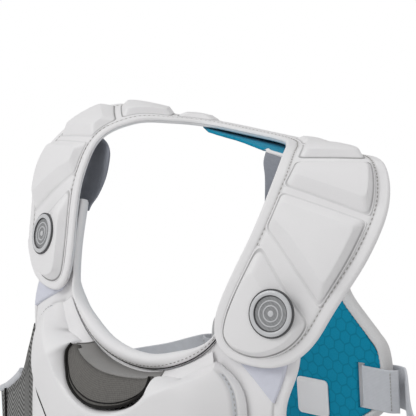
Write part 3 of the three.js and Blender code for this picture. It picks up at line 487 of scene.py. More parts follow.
def sewn_rim(base, rim, at):
    """How far each point lies from the rim, how round the rim is there, and the seam beside it."""
    edge = distance_to(rim_of(base), base)
    return edge, half_round(edge, rim["round"]), bump_at(edge, at, rim["wide"])


def facing_front(out):
    return out * -np.sign(out[..., 1:2])


def distance_to(path, points, closed=True):
    """How far each point lies from a line of points."""
    after = np.roll(path, -1, axis=0) if closed else np.vstack([path[1:], path[-1:]])
    dense = np.concatenate([path + (after - path) * share for share in (0, 0.25, 0.5, 0.75)])
    tree = kdtree.KDTree(len(dense))
    for index, place in enumerate(dense.tolist()):
        tree.insert(place, index)
    tree.balance()
    flat = points.reshape(-1, 3).tolist()
    return np.array([tree.find(place)[2] for place in flat]).reshape(points.shape[:-1])


def resampled(path, pitch, closed=False):
    """Points one pitch apart along a line, with the direction there."""
    points = np.vstack([path, path[:1]]) if closed else np.asarray(path)
    run = np.concatenate([[0], np.cumsum(np.linalg.norm(np.diff(points, axis=0), axis=1))])
    count = max(2, int(round(run[-1] / pitch)))
    at = (np.arange(count) + 0.5) * run[-1] / count
    place = lambda where: np.stack([np.interp(where, run, points[:, axis]) for axis in range(3)], axis=1)
    ahead = place(np.minimum(at + 0.4, run[-1]))
    behind = place(np.maximum(at - 0.4, 0))
    return place(at), unit(ahead - behind)


# Meshes
def piece(name, points, faces, *materials, lay=None, crease=None, parts=None, slot=None, stands_for=()):
    """One mesh object that rides on the pad; points are in millimetres."""
    mesh = bpy.data.meshes.new(name)
    places = np.asarray(points).reshape(-1, 3) * MM
    mesh.from_pydata(places.tolist(), [], [tuple(int(i) for i in face) for face in faces])
    for material in materials:
        mesh.materials.append(material)
    if parts is not None:
        mesh.polygons.foreach_set("material_index", np.asarray(parts, dtype=np.int32))
    made = bmesh.new()
    made.from_mesh(mesh)
    bmesh.ops.recalc_face_normals(made, faces=made.faces)
    made.to_mesh(mesh)
    made.free()
    mesh.polygons.foreach_set("use_smooth", np.ones(len(mesh.polygons), dtype=bool))
    if lay is not None:
        where = mesh.attributes.new("lay", "FLOAT_VECTOR", "POINT")
        where.data.foreach_set("vector", (np.asarray(lay) * MM).astype(np.float32).ravel())
    if crease is not None:
        mask = mesh.attributes.new("crease", "FLOAT", "POINT")
        mask.data.foreach_set("value", np.clip(np.asarray(crease), 0, 1).astype(np.float32).ravel())
    obj = bpy.data.objects.new(name, mesh)
    bpy.context.scene.collection.objects.link(obj)
    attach(obj, "root")
    if stands_for:
        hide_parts(*stands_for)
    return obj


def ring_faces(rings, count):
    """Quads between rings of points that follow each other in one list."""
    faces = []
    for r in range(rings - 1):
        for i in range(count):
            j = (i + 1) % count
            faces.append((r * count + i, r * count + j, (r + 1) * count + j, (r + 1) * count + i))
    return faces


def capped_rings(rings, count):
    """The faces of rings of points, with the first and the last ring closed."""
    return ring_faces(rings, count) + [tuple(range(count)), tuple(range((rings - 1) * count, rings * count))]


def shell(name, front, back, *materials, lay=None, crease=None, parts=None, behind=1.0, **marks):
    """A closed slab of front and back points, joined at the rim.

    behind is the share of the painted crease shade that shows on the back.
    """
    rows, columns = front.shape[:2]
    rings = np.concatenate([front, back[:, ::-1]], axis=1)
    faces = ring_faces(rows, 2 * columns)
    last = 2 * columns - 1
    for start, turn in ((0, 1), ((rows - 1) * 2 * columns, -1)):
        for i in range(columns - 1):
            quad = (start + i, start + last - i, start + last - i - 1, start + i + 1)
            faces.append(quad if turn > 0 else quad[::-1])
    if lay is not None:
        lay = np.concatenate([lay, lay[:, ::-1]], axis=1)
    if crease is not None:
        crease = np.concatenate([crease, crease[:, ::-1] * behind], axis=1)
    if parts is not None:
        wide = np.concatenate([parts, parts[:, -1:], parts[:, ::-1], parts[:, :1]], axis=1)
        parts = np.concatenate([wide.ravel(), parts[0], parts[-1]])
    return piece(name, rings, faces, *materials, lay=lay, crease=crease, parts=parts, **marks)


def grid_lay(points):
    """Where each point of a grid lies in the flat cloth: along the rows and across them."""
    along = np.linalg.norm(np.diff(points, axis=0), axis=2).mean(axis=1)
    across = np.linalg.norm(np.diff(points, axis=1), axis=2)
    u = np.concatenate([[0], np.cumsum(along)])[:, None] + np.zeros(points.shape[1])
    v = np.concatenate([np.zeros((len(points), 1)), np.cumsum(across, axis=1)], axis=1)
    v = v - v[:, -1:] / 2
    return np.stack([u, v, np.zeros_like(u)], axis=2)


def tube(name, centre, wide, deep, sides, material, **marks):
    """A roll of elliptical section along a line."""
    turn = np.arange(sides) * 2 * math.pi / sides
    cosine, sine = np.cos(turn)[None, :, None], np.sin(turn)[None, :, None]
    rings = centre[:, None] + wide[:, None] * cosine + deep[:, None] * sine
    run = np.concatenate([[0], np.cumsum(np.linalg.norm(np.diff(centre, axis=0), axis=1))])
    girth = np.linalg.norm(wide, axis=1).mean()
    lay = np.stack(np.broadcast_arrays(run[:, None], girth * turn[None], 0 * turn[None]), axis=2)
    return piece(name, rings, capped_rings(len(centre), sides), material, lay=lay, **marks)


def cord_tube(name, path, out, radius, material, sides=10, **marks):
    """A round cord along a line, whose outward side is given."""
    along = unit(np.gradient(path, axis=0))
    wide = unit(np.cross(along, out))
    deep = np.cross(wide, along)
    return tube(name, path, wide * radius, deep * radius, sides, material, **marks)


def stitches(name, path, out, material, slot, closed=False, pitch=None):
    """A row of sewn stitches: short threads that dive into the skin at both ends."""
    sizes = bpy.context.scene.chest_pad_sizes
    pitch = pitch or sizes.stitch_pitch / MM
    long, thick = sizes.stitch_length / MM, sizes.thread / MM
    centre, along = resampled(path, pitch, closed)
    up = unit(resampled_like(path, out, centre))
    side = unit(np.cross(along, up))
    shares = np.array([share for share, _ in STITCH_ROWS])
    girth = thick * np.array([full for _, full in STITCH_ROWS])
    drop = -thick * (STITCH["sink"] + STITCH["dive"] * shares ** 4)
    sides = STITCH["sides"]
    turn = np.arange(sides) * 2 * math.pi / sides
    rings = (
        centre[:, None, None] + along[:, None, None] * (shares * long / 2)[None, :, None, None]
        + up[:, None, None] * (drop[:, None] + girth[:, None] * np.sin(turn))[None, :, :, None]
        + side[:, None, None] * (girth[:, None] * np.cos(turn))[None, :, :, None]
    )
    one = capped_rings(len(shares), sides)
    each = len(shares) * sides
    faces = [tuple(index + each * n for index in face) for n in range(len(centre)) for face in one]
    return piece(name, rings, faces, material, slot=slot)


def resampled_like(path, values, places):
    """Values given along a line, read at the nearest of its points."""
    tree = kdtree.KDTree(len(path))
    for index, place in enumerate(np.asarray(path).tolist()):
        tree.insert(place, index)
    tree.balance()
    return np.asarray(values)[[tree.find(place)[1] for place in places.tolist()]]


# Materials
# How much the painted crease shade darkens a surface, and how dark that painted shade gets.
CREASE_SHADE = {"amount": 0.9, "dark": 0.26}
# How strongly dry cloth mirrors the light.
MATT = 0.12
# Steps that keep the hexagons' count above zero all over the pad.
HEXAGON_SHIFT = 400.0


def node(tree, kind, inputs=None, **settings):
    made = tree.nodes.new(kind)
    for key, value in settings.items():
        setattr(made, key, value)
    for key, value in (inputs or {}).items():
        if isinstance(value, bpy.types.NodeSocket):
            tree.links.new(value, made.inputs[key])
        else:
            made.inputs[key].default_value = value
    return made


def calc(tree, operation, *values):
    return node(tree, "ShaderNodeMath", dict(enumerate(values)), operation=operation).outputs[0]


def weighed(tree, first, share, second, rest):
    """Two values added, each times its own share."""
    return calc(tree, "ADD", calc(tree, "MULTIPLY", first, share), calc(tree, "MULTIPLY", second, rest))


def threads(tree, place):
    """Round threads side by side, one to each whole number."""
    return calc(tree, "ABSOLUTE", calc(tree, "SINE", calc(tree, "MULTIPLY", place, math.pi)))


def noise(tree, vector, scale, detail):
    return node(tree, "ShaderNodeTexNoise", {"Vector": vector, "Scale": scale, "Detail": detail}).outputs[0]


def pebbles(tree, vector, scale):
    return node(tree, "ShaderNodeTexVoronoi", {"Vector": vector, "Scale": scale}).outputs[0]


def in_steps(tree, vector, pitch):
    """A place counted in steps of one pitch."""
    inputs = {"Vector": vector, "Scale": calc(tree, "DIVIDE", 1.0, pitch)}
    return node(tree, "ShaderNodeVectorMath", inputs, operation="SCALE").outputs["Vector"]


def split(tree, vector):
    parts = node(tree, "ShaderNodeSeparateXYZ", {"Vector": vector}).outputs
    return parts["X"], parts["Y"]


def mixed(tree, share, first, second):
    """One colour turning into another; the numbers are the Mix node's colour sockets."""
    return node(tree, "ShaderNodeMix", {0: share, 6: first, 7: second}, data_type="RGBA").outputs[2]


def node_group(name, inputs, outputs=("Tone", "Height")):
    """A shader group: inputs are name: default; every output is a value over the surface."""
    tree = bpy.data.node_groups.new(name, "ShaderNodeTree")
    tree.interface.new_socket("Vector", in_out="INPUT", socket_type="NodeSocketVector")
    for label, default in inputs.items():
        socket = tree.interface.new_socket(label, in_out="INPUT", socket_type="NodeSocketFloat")
        socket.default_value = default
    for label in outputs:
        tree.interface.new_socket(label, in_out="OUTPUT", socket_type="NodeSocketFloat")
    start = node(tree, "NodeGroupInput")
    end = node(tree, "NodeGroupOutput")

    def close(**results):
        for label, socket in results.items():
            tree.links.new(socket, end.inputs[label])
        return tree

    return tree, start.outputs, close


def grain_group():
    """Leather grain: small pebbles with finer creases between them."""
    tree, given, close = node_group("Leather grain", {"Scale": 900.0})
    pebble = pebbles(tree, given["Vector"], given["Scale"])
    fine = noise(tree, given["Vector"], given["Scale"], 3.0)
    broad = noise(tree, given["Vector"], 22.0, 4.0)
    height = calc(tree, "ADD", pebble, calc(tree, "MULTIPLY", fine, 0.4))
    return close(Tone=weighed(tree, broad, 0.7, pebble, 0.25), Height=height)


def weave_group():
    """Plain weave: warp and weft threads that pass over each other in turn."""
    tree, given, close = node_group("Plain weave", {"Pitch": 0.0012})
    steps = in_steps(tree, given["Vector"], given["Pitch"])
    x, y = split(tree, steps)
    cell = calc(tree, "ADD", calc(tree, "FLOOR", x), calc(tree, "FLOOR", y))
    over = calc(tree, "FLOORED_MODULO", cell, 2.0)
    height = weighed(tree, threads(tree, x), over, threads(tree, y), calc(tree, "SUBTRACT", 1.0, over))
    fleck = noise(tree, steps, 0.6, 2.0)
    return close(Tone=weighed(tree, height, 0.55, fleck, 0.45), Height=height)


def rib_group():
    """Webbing: ribs along the length with fine weft marks across them."""
    tree, given, close = node_group("Webbing ribs", {"Pitch": 0.0013, "Weft": 0.0009})
    x, y = split(tree, given["Vector"])
    ribs = calc(tree, "DIVIDE", y, given["Pitch"])
    half_step = calc(tree, "MULTIPLY", calc(tree, "FLOOR", ribs), 0.5)
    wefts = calc(tree, "ADD", calc(tree, "DIVIDE", x, given["Weft"]), half_step)
    height = weighed(tree, threads(tree, ribs), 0.7, threads(tree, wefts), 0.3)
    fleck = noise(tree, given["Vector"], 160.0, 3.0)
    return close(Tone=weighed(tree, height, 0.5, fleck, 0.5), Height=height)


def herringbone_group():
    """Herringbone twill: slanting lines that turn back at every column."""
    tree, given, close = node_group("Herringbone", {"Column": 0.014, "Twill": 0.0052})
    x, y = split(tree, given["Vector"])
    column = calc(tree, "PINGPONG", x, given["Column"])
    phase = calc(tree, "DIVIDE", calc(tree, "ADD", y, column), given["Twill"])
    wave = calc(tree, "SINE", calc(tree, "MULTIPLY", phase, 2 * math.pi))
    thread = calc(tree, "MULTIPLY_ADD", wave, 0.5, 0.5)
    fleck = noise(tree, given["Vector"], 900.0, 2.0)
    return close(Tone=weighed(tree, thread, 0.75, fleck, 0.25), Height=thread)


def hexagon_group():
    """Knit with tone-on-tone hexagons: thin lines round each cell over a fine mesh."""
    tree, given, close = node_group("Hexagon knit", {"Size": 0.0095})
    x, y = split(tree, in_steps(tree, given["Vector"], given["Size"]))
    x, y = calc(tree, "ADD", x, HEXAGON_SHIFT), calc(tree, "ADD", y, HEXAGON_SHIFT)
    tall = math.sqrt(3.0)
    cells = []
    for shift_x, shift_y in ((0.0, 0.0), (0.5, tall / 2)):
        from_x = calc(tree, "SUBTRACT", calc(tree, "MODULO", calc(tree, "ADD", x, shift_x), 1.0), 0.5)
        from_y = calc(tree, "SUBTRACT", calc(tree, "MODULO", calc(tree, "ADD", y, shift_y), tall), tall / 2)
        wide = calc(tree, "ABSOLUTE", from_x)
        high = calc(tree, "ABSOLUTE", from_y)
        cells.append(calc(tree, "MAXIMUM", wide, weighed(tree, wide, 0.5, high, tall / 2)))
    reach = calc(tree, "MINIMUM", *cells)
    edge = node(tree, "ShaderNodeMapRange", {"Value": reach, "From Min": 0.42, "From Max": 0.47}).outputs[0]
    mesh = pebbles(tree, given["Vector"], 1300.0)
    height = calc(tree, "ADD", mesh, calc(tree, "MULTIPLY", edge, 0.5))
    return close(Tone=weighed(tree, edge, 0.65, mesh, 0.35), Height=height)


def pile_group():
    """Brushed loop pile: a soft fuzz with a faint nap."""
    tree, given, close = node_group("Loop pile", {"Scale": 1500.0})
    fuzz = noise(tree, given["Vector"], given["Scale"], 4.0)
    nap = noise(tree, given["Vector"], 120.0, 3.0)
    return close(Tone=weighed(tree, fuzz, 0.5, nap, 0.5), Height=fuzz)


def painted_shade_group():
    """Painted shade that gathers in sewn creases, broken up by soft patches."""
    tree, given, close = node_group("Crease shade", {"Crease": 0.0, "Amount": 0.5}, ("Mask",))
    patch = noise(tree, given["Vector"], 45.0, 5.0)
    broken = calc(tree, "MULTIPLY", given["Crease"], calc(tree, "ADD", patch, 0.5))
    mask = calc(tree, "MULTIPLY", broken, given["Amount"])
    mask.node.use_clamp = True
    return close(Mask=mask)


def finish(name, colour, shade, pattern, values, bump, rough, flat=True, sheen=0.0, metal=0.0, coat=0.0,
           gloss_level=0.5):
    """A material: the pattern sets tone and relief, the painted crease shade darkens the seams."""
    groups = bpy.data.node_groups
    material = bpy.data.materials.new(f"{name}_finish")
    material.use_nodes = True
    tree = material.node_tree
    surface = tree.nodes["Principled BSDF"]
    place = node(tree, "ShaderNodeTexCoord").outputs["Object"]
    cloth = node(tree, "ShaderNodeAttribute", attribute_name="lay").outputs["Vector"] if flat else place
    detail = node(tree, "ShaderNodeGroup", node_tree=groups[pattern])
    tree.links.new(cloth, detail.inputs["Vector"])
    for label, value in values.items():
        detail.inputs[label].default_value = value
    # The crease attribute carries painted shade for seams, grooves, gutters and gaps.
    crease = node(tree, "ShaderNodeAttribute", attribute_name="crease").outputs["Fac"]
    painted_shade = node(tree, "ShaderNodeGroup", node_tree=groups["Crease shade"])
    tree.links.new(place, painted_shade.inputs["Vector"])
    tree.links.new(crease, painted_shade.inputs["Crease"])
    painted_shade.inputs["Amount"].default_value = CREASE_SHADE["amount"]
    tone, height = detail.outputs["Tone"], detail.outputs["Height"]
    tint = mixed(tree, tone, (*colour, 1), (*shade, 1))
    seam = mixed(tree, painted_shade.outputs["Mask"], tint, (*shaded(shade, CREASE_SHADE["dark"]), 1))
    tree.links.new(seam, surface.inputs["Base Color"])
    gloss = node(tree, "ShaderNodeMapRange", {"Value": tone, "To Min": rough[0], "To Max": rough[1]})
    tree.links.new(gloss.outputs[0], surface.inputs["Roughness"])
    relief = node(tree, "ShaderNodeBump", {"Height": height, "Strength": bump[0], "Distance": bump[1]})
    tree.links.new(relief.outputs["Normal"], surface.inputs["Normal"])
    surface.inputs["Metallic"].default_value = metal
    surface.inputs["Specular IOR Level"].default_value = gloss_level
    surface.inputs["Sheen Weight"].default_value = sheen
    surface.inputs["Coat Weight"].default_value = coat
    return material


def shaded(colour, share):
    return tuple(c * share for c in colour)


def make_finishes():
    """All the pad's finishes, by name, from the user's colours."""
    for make in (
        grain_group, weave_group, rib_group, herringbone_group, hexagon_group, pile_group, painted_shade_group,
    ):
        make()
    colours = bpy.context.scene.chest_pad_colours
    sizes = bpy.context.scene.chest_pad_sizes

    def pair(key, shade, light=1.0):
        """A colour and its shade, as shares of one of the user's colours."""
        colour = tuple(getattr(colours, key))
        return shaded(colour, light), shaded(colour, shade)

    ribs = {"Pitch": sizes.rib, "Weft": sizes.rib * 0.7}
    webbing = {"sheen": 0.1, "gloss_level": MATT}
    moulded = {"Scale": 2500.0}
    thread = ("Webbing ribs", {"Pitch": 0.0004, "Weft": 0.0006}, (0.3, 0.0001), (0.6, 0.8))
    finish("white_vinyl", *pair("vinyl", 0.95), "Leather grain", {}, (0.12, 0.0002), (0.42, 0.6), flat=False)
    finish("teal_knit", *pair("teal", 0.7), "Hexagon knit", {"Size": sizes.hexagon}, (0.35, 0.0003),
           (0.7, 0.9), sheen=0.08, gloss_level=MATT)
    finish("grey_webbing", *pair("webbing", 0.6), "Webbing ribs", ribs, (0.5, 0.0003), (0.6, 0.85), **webbing)
    finish("pale_elastic", *pair("elastic", 0.75), "Webbing ribs", ribs, (0.4, 0.0003), (0.6, 0.8), **webbing)
    finish("loop_fabric", *pair("loop", 0.8), "Loop pile", {}, (0.5, 0.0004), (0.85, 0.95),
           flat=False, sheen=0.3, gloss_level=MATT)
    finish("pocket_weave", *pair("pocket", 1.25, 0.4), "Plain weave", {"Pitch": 0.0016}, (0.5, 0.0003),
           (0.6, 0.8), gloss_level=MATT)
    finish("satin_band", *pair("satin", 0.8), "Webbing ribs", {"Pitch": 0.0005, "Weft": 0.004},
           (0.15, 0.0001), (0.34, 0.46), sheen=0.2)
    finish("black_piping", *pair("piping", 0.5), "Webbing ribs", {"Pitch": 0.0014, "Weft": 0.0014},
           (0.4, 0.0002), (0.42, 0.6), gloss_level=MATT)
    finish("herringbone", *pair("herringbone", 1.95, 0.22), "Herringbone", {"Twill": sizes.twill},
           (0.4, 0.0003), (0.75, 0.9), gloss_level=MATT)
    finish("binding_tape", *pair("binding", 0.8), "Plain weave", {"Pitch": 0.0008}, (0.35, 0.0002),
           (0.6, 0.8), gloss_level=MATT)
    finish("badge_dark", *pair("badge", 0.7), "Leather grain", moulded, (0.05, 0.0001), (0.35, 0.5),
           flat=False)
    finish("badge_pale", srgb(226, 227, 229), srgb(196, 197, 200), "Leather grain", moulded, (0.03, 0.0001),
           (0.22, 0.36), flat=False, coat=0.3)
    finish("badge_brushed", srgb(178, 179, 181), srgb(140, 141, 143), "Webbing ribs",
           {"Pitch": 0.0009, "Weft": 0.02}, (0.2, 0.0001), (0.3, 0.45), flat=False, metal=0.4)
    finish("thread_pale", *pair("thread", 0.6), *thread, flat=False)
    finish("thread_grey", srgb(150, 149, 147), srgb(96, 95, 94), *thread, flat=False)
    finish("thread_brown", srgb(122, 100, 84), srgb(84, 66, 54), *thread, flat=False)


def skin(name):
    return bpy.data.materials[f"{name}_finish"]


# The yoke's face: stations along it, -1 to 1 across it.
OTHER_HALF = [(-x, y, z, -far_x, far_y, far_z) for x, y, z, far_x, far_y, far_z in YOKE_STATIONS[:0:-1]]
YOKE_ROWS = OTHER_HALF + list(YOKE_STATIONS)
yoke_band = ruled(line([row[:3] for row in YOKE_ROWS]), line([row[3:] for row in YOKE_ROWS]))


def yoke_face(k, t):
    k, t = np.broadcast_arrays(np.asarray(k, float), np.asarray(t, float))
    u = (k + TIP) / (2 * TIP)
    inside = np.clip(u, 0, 1)
    across = (t + 1) / 2
    points = yoke_band(inside, across)
    back = np.where(u > 0.5, 1 - 1e-3, 1e-3)
    past = (np.abs(u - inside) / 1e-3)[..., None]
    points = points + np.where(past > 0, (points - yoke_band(back, across)) * past, 0)
    outward = points - np.stack([points[..., 0], 0 * t + BODY_AXIS[0], 0 * t + BODY_AXIS[1]], axis=-1)
    return points + unit(outward) * (YOKE_CROWN * (1 - np.minimum(t * t, 1)))[..., None]


def tip_share(k):
    """The band's width as a share: it narrows to a rounded tip."""
    past = np.clip((np.abs(k) - TIP_START) / (TIP - TIP_START), 0, 1)
    full = (1 - TIP_LAST ** TIP_POWER) ** (1 / TIP_POWER)
    return (1 - (past * full) ** TIP_POWER) ** (1 / TIP_POWER)


def yoke_run(before_tip, in_tip):
    """Stations along the whole yoke, closer together towards the end of each tip."""
    tip = TIP_START + (TIP - TIP_START) * np.sin(np.linspace(0, math.pi / 2, in_tip))
    half = np.concatenate([np.linspace(0, TIP_START, before_tip)[:-1], tip])
    return np.concatenate([-half[::-1], half[1:]])


def yoke_edge(inset):
    """A closed line on the yoke's top, a set distance inside its edge, with the way out of the face."""
    along = yoke_run(*YOKE_STEPS["edge"])
    k = np.concatenate([along, along[::-1]])
    t = np.concatenate([-tip_share(along), tip_share(along[::-1])])
    points = yoke_face(k, t)
    inside = TIP - YOKE_INSIDE["edge"]
    out = normal(yoke_face, np.clip(k, -inside, inside), t * YOKE_INSIDE["across"])
    tangent = unit(np.roll(points, -2, axis=0) - np.roll(points, 2, axis=0))
    inward = unit(np.cross(out, tangent))
    shorter, narrower = YOKE_INSIDE["middle"]
    to_middle = yoke_face(k * shorter, t * narrower) - points
    inward *= np.sign(np.sum(inward * to_middle, axis=1))[:, None]
    return points + inward * inset, out


class ChestPadOperator:
    """What every step of the pad shares."""
    bl_options = {"REGISTER", "UNDO"}

    def execute(self, context):
        self.make(context.scene.chest_pad_sizes)
        return {"FINISHED"}


class CHESTPAD_OT_yoke(ChestPadOperator, bpy.types.Operator):
    """Make the yoke's padded band with its stitched border"""
    bl_idname = "chestpad.yoke"
    bl_label = "Yoke Band"

    def make(self, sizes):
        k = yoke_run(*YOKE_STEPS["band"])[:, None]
        t = eased(-1, 1, YOKE_STEPS["across"])[None, :] * tip_share(k)
        k, t = np.broadcast_arrays(k, t)
        base = yoke_face(k, t)
        inside = TIP - YOKE_INSIDE["band"]
        out = normal(yoke_face, np.clip(k, -inside, inside), t)
        rim, border = RIMS["yoke"], sizes.border / MM
        edge, round_off, seam = sewn_rim(base, rim, border)
        dip = rim["dip"] * bump_at(edge, border, rim["dip_wide"])
        top = YOKE_THICK / 2 * (round_off - 1) - rim["deep"] * seam - dip
        bottom = -YOKE_THICK / 2 * (1 + round_off)
        obj = shell(
            "yoke_band", base + out * top[..., None], base + out * bottom[..., None], skin("white_vinyl"),
            crease=rim["dark"] * seam, slot="white_vinyl", stands_for=("yoke_base",),
        )
        path, up = yoke_edge(border)
        path = path - up * rim["stitch_sink"]
        stitches("yoke_stitches", path, up, skin("thread_pale"), "white_vinyl", closed=True)


def outline_inset(corners, distances):
    """A closed outline of straight edges, each moved in by its own distance; edge i leaves corner i."""
    before = np.roll(corners, 1, axis=0)
    after = np.roll(corners, -1, axis=0)
    area = np.sum(corners[:, 0] * after[:, 1] - corners[:, 1] * after[:, 0])
    turn = math.copysign(1, area)
    left = lambda way: turn * np.stack([-way[:, 1], way[:, 0]], axis=1)
    sides = np.stack([left(unit(corners - before)), left(unit(after - corners))], axis=1)
    leaving = np.broadcast_to(np.asarray(distances, float), len(corners))
    reach = np.stack([np.roll(leaving, 1), leaving], axis=1)
    return corners + np.linalg.solve(sides, reach[..., None])[..., 0]


# The most of an edge that one rounded corner takes.
MOST_CUT = 0.48


def corner_cut(radius, *edges):
    """How far a rounded corner reaches along the edges beside it."""
    return min(radius, *(MOST_CUT * np.linalg.norm(edge) for edge in edges))


def rounded_outline(corners, radius, per_corner, per_edge):
    """An outline whose corners are rounded, with as many points for any size."""
    points = []
    for i, corner in enumerate(corners):
        before, after = corners[i - 1], corners[(i + 1) % len(corners)]
        cut_in = corner_cut(radius, before - corner, after - corner)
        start = corner + unit(before - corner) * cut_in
        stop = corner + unit(after - corner) * cut_in
        share = np.linspace(0, 1, per_corner)[:, None]
        points.append((1 - share) ** 2 * start + 2 * share * (1 - share) * corner + share ** 2 * stop)
        following = corners[(i + 2) % len(corners)]
        reach = corner_cut(radius, after - corner, following - after)
        end = after + unit(corner - after) * reach
        points.append(stop + (end - stop) * np.linspace(0, 1, per_edge + 2)[1:-1, None])
    return np.concatenate(points)


class CHESTPAD_OT_blocks(ChestPadOperator, bpy.types.Operator):
    """Make the raised blocks on the yoke"""
    bl_idname = "chestpad.blocks"
    bl_label = "Yoke Blocks"

    def make(self, sizes):
        for side, sign in SIDES:
            for name, (rise, steep, slope, corners) in BLOCKS.items():
                front, sides, back = BLOCK_FOOT_SHADE[name]
                if len(corners) == 4:
                    bevels, lines = (steep, slope, steep, slope), (sides, front, sides, back)
                else:
                    rest = len(corners) - 1
                    bevels, lines = (steep,) * rest + (slope,), (sides,) * rest + (back,)
                places = [(sign * k, t) for k, t in corners]
                self.block(f"{name}_{side}", rise, np.array(bevels), places, sizes.block_crown / MM, lines)

    def block(self, name, rise, bevels, corners, crown, lines):
        corners = np.array(corners)
        k, t = corners.mean(axis=0)
        scale = np.array([
            np.linalg.norm(yoke_face(k + 0.1, 0) - yoke_face(k - 0.1, 0)) / 0.2,
            np.linalg.norm(yoke_face(k, 0.5) - yoke_face(k, -0.5)),
        ])
        flat = corners * scale
        level = [(np.full(len(bevels), inset), up) for inset, up, _ in GUTTER]
        foot, foot_rise, shoulder = BEVEL["foot"], BEVEL["foot_rise"], rise - BEVEL["shoulder"]
        for share in BEVEL_STEPS:
            level.append((foot + (bevels - foot) * share, foot_rise + (shoulder - foot_rise) * share))
        level += [(bevels + reach, rise - drop) for reach, drop in BLOCK_ROUND]
        radius, per_corner, per_edge = BLOCK_CORNERS["four" if len(corners) == 4 else "more"]
        outlines = [
            rounded_outline(outline_inset(flat, insets), radius, per_corner, per_edge) for insets, _ in level
        ]
        heights = [up for _, up in level]
        top = outlines[-1]
        middle = top.mean(axis=0)
        for share in BLOCK_TOP_STEPS:
            outlines.append(middle + (top - middle) * share)
            heights.append(rise + crown * (1 - share ** 2))
        outlines.insert(0, middle + (outlines[0] - middle) * BLOCK_UNDER["share"])
        heights.insert(0, BLOCK_UNDER["height"])
        places = np.stack(outlines)
        levels = np.array(heights)[:, None] + np.zeros(places.shape[1])
        points = raised(yoke_face, places[..., 0] / scale[0], places[..., 1] / scale[1], levels)
        shade = np.zeros(len(places))
        shade[1:1 + len(GUTTER)] = [dark for _, _, dark in GUTTER]
        strength = [
            part for i in range(len(corners))
            for part in (np.linspace(lines[i - 1], lines[i], per_corner), np.full(per_edge, lines[i]))
        ]
        obj = piece(
            f"yoke_pad_{name}", points, capped_rings(*places.shape[:2]), skin("white_vinyl"),
            crease=shade[:, None] * np.concatenate(strength), slot="white_vinyl",
            stands_for=(f"yoke_block_{name}",),
        )


class CHESTPAD_OT_badges(ChestPadOperator, bpy.types.Operator):
    """Make the plain ringed badges on the front blocks"""
    bl_idname = "chestpad.badges"
    bl_label = "Badges"

    def make(self, sizes):
        rings = [(share + off, up, part) for share in BADGE_RINGS for off, up, part in BADGE_RING]
        section = (*BADGE_RIM, *rings, *BADGE_HUB)
        rise = BLOCKS["front"][0] + sizes.block_crown / MM
        sides = BADGE["sides"]
        turn = np.arange(sides) * 2 * math.pi / sides
        for side, sign in SIDES:
            station, across = BADGE[side]
            centre = raised(yoke_face, sign * station, across, rise)
            out = normal(yoke_face, sign * station, across)
            out = out * np.sign(out[2] - out[1])
            wide = unit(np.cross(out, (0, 0, 1.0)))
            high = np.cross(wide, out)
            spokes = np.cos(turn)[:, None] * wide + np.sin(turn)[:, None] * high
            points = np.stack([
                centre + BADGE["radius"] * share * spokes + out * up for share, up, _ in section
            ])
            parts = np.repeat([part for _, _, part in section[:-1]], sides).tolist() + [DARK, PALE]
            obj = piece(
                f"badge_disc_{side}", points, capped_rings(len(section), sides),
                skin("badge_dark"), skin("badge_pale"), skin("badge_brushed"), parts=parts,
                slot="badge_plastic", stands_for=(f"badge_{side}",),
            )
            obj.data.set_sharp_from_angle(angle=math.radians(BADGE["sharp"]))


lining_free = line([row[:3] for row in LINING_ROWS])
LINING_SEWN = [(i / (len(LINING_ROWS) - 1), row[3], row[4]) for i, row in enumerate(LINING_ROWS)]


def lining_face(s, v):
    s, v = np.broadcast_arrays(np.clip(np.asarray(s, float), 0, 1), np.asarray(v, float))
    sewn = raised(yoke_face, look_up(LINING_SEWN, s), look_up(LINING_SEWN, s, 2), -YOKE_THICK - GAP)
    return lining_free(s) * (1 - v[..., None]) + sewn * v[..., None]


def down(out):
    return out * -np.sign(out[..., 2:])


class CHESTPAD_OT_lining(ChestPadOperator, bpy.types.Operator):
    """Make the knit lining under the yoke's back, with its bound end"""
    bl_idname = "chestpad.lining"
    bl_label = "Neck Lining"

    def make(self, sizes):
        along, across = GRIDS["lining"]
        k = eased(0, 1, along, 0.5)[:, None]
        v = eased(0, 1, across)[None]
        base = lining_face(k, v)
        out = down(normal(lining_face, k, v))
        edge = distance_to(rim_of(base), base)
        round_off = half_round(edge, LINING["round"])
        ripple = LINING["ripple"] * np.sin(k * LINING["waves"]) * (1 - smooth(0, LINING["ripple_to"], v))
        ripple = ripple * smooth(0, LINING["ripple_in"], edge)
        face = base + out * (LINING_THICK / 2 * (1 + round_off) + ripple)[..., None]
        back = base + out * (LINING_THICK / 2 * (1 - round_off))[..., None]
        obj = shell(
            "neck_lining", face, back, skin("teal_knit"), lay=grid_lay(base), slot="teal_lining",
            stands_for=("yoke_lining",),
        )
        place, end = np.linspace(0.0, LINING["hem_to"], 60), np.ones(60)
        up = down(normal(lining_face, end, place))
        hem = lining_face(end, place) + up * LINING_THICK / 2
        wide = np.cross(unit(np.gradient(hem, axis=0)), up)
        tube(
            "neck_lining_hem", hem, wide * LINING["hem_wide"], up * LINING["hem_deep"], 12,
            skin("white_vinyl"), slot="white_vinyl",
        )


def flat_size(points):
    """The width and length of a strip of cloth, in metres."""
    across = np.linalg.norm(np.diff(points, axis=1), axis=2).sum(axis=1).mean()
    along = np.linalg.norm(np.diff(points, axis=0), axis=2).sum(axis=0).mean()
    return (float(across * MM), float(along * MM))


def webbing(name, face, grid, edge, cloth, stands_for):
    """A strap on a ruled face, whose edge is a share of its thickness, and the grid through its middle."""
    along, across = grid
    u, v = np.broadcast_arrays(np.linspace(*STRAP_ENDS, along)[:, None], eased(0, 1, across)[None])
    base = face(u, v)
    out = normal(face, u, v)
    rim = half_round(distance_to(rim_of(base), base), STRAP_ROUND)
    half = (STRAP_THICK / 2 * (edge + (1 - edge) * rim))[..., None]
    obj = shell(
        name, base + out * half, base - out * half, skin(cloth), lay=grid_lay(base), slot=cloth,
        stands_for=(stands_for,),
    )
    return obj, base


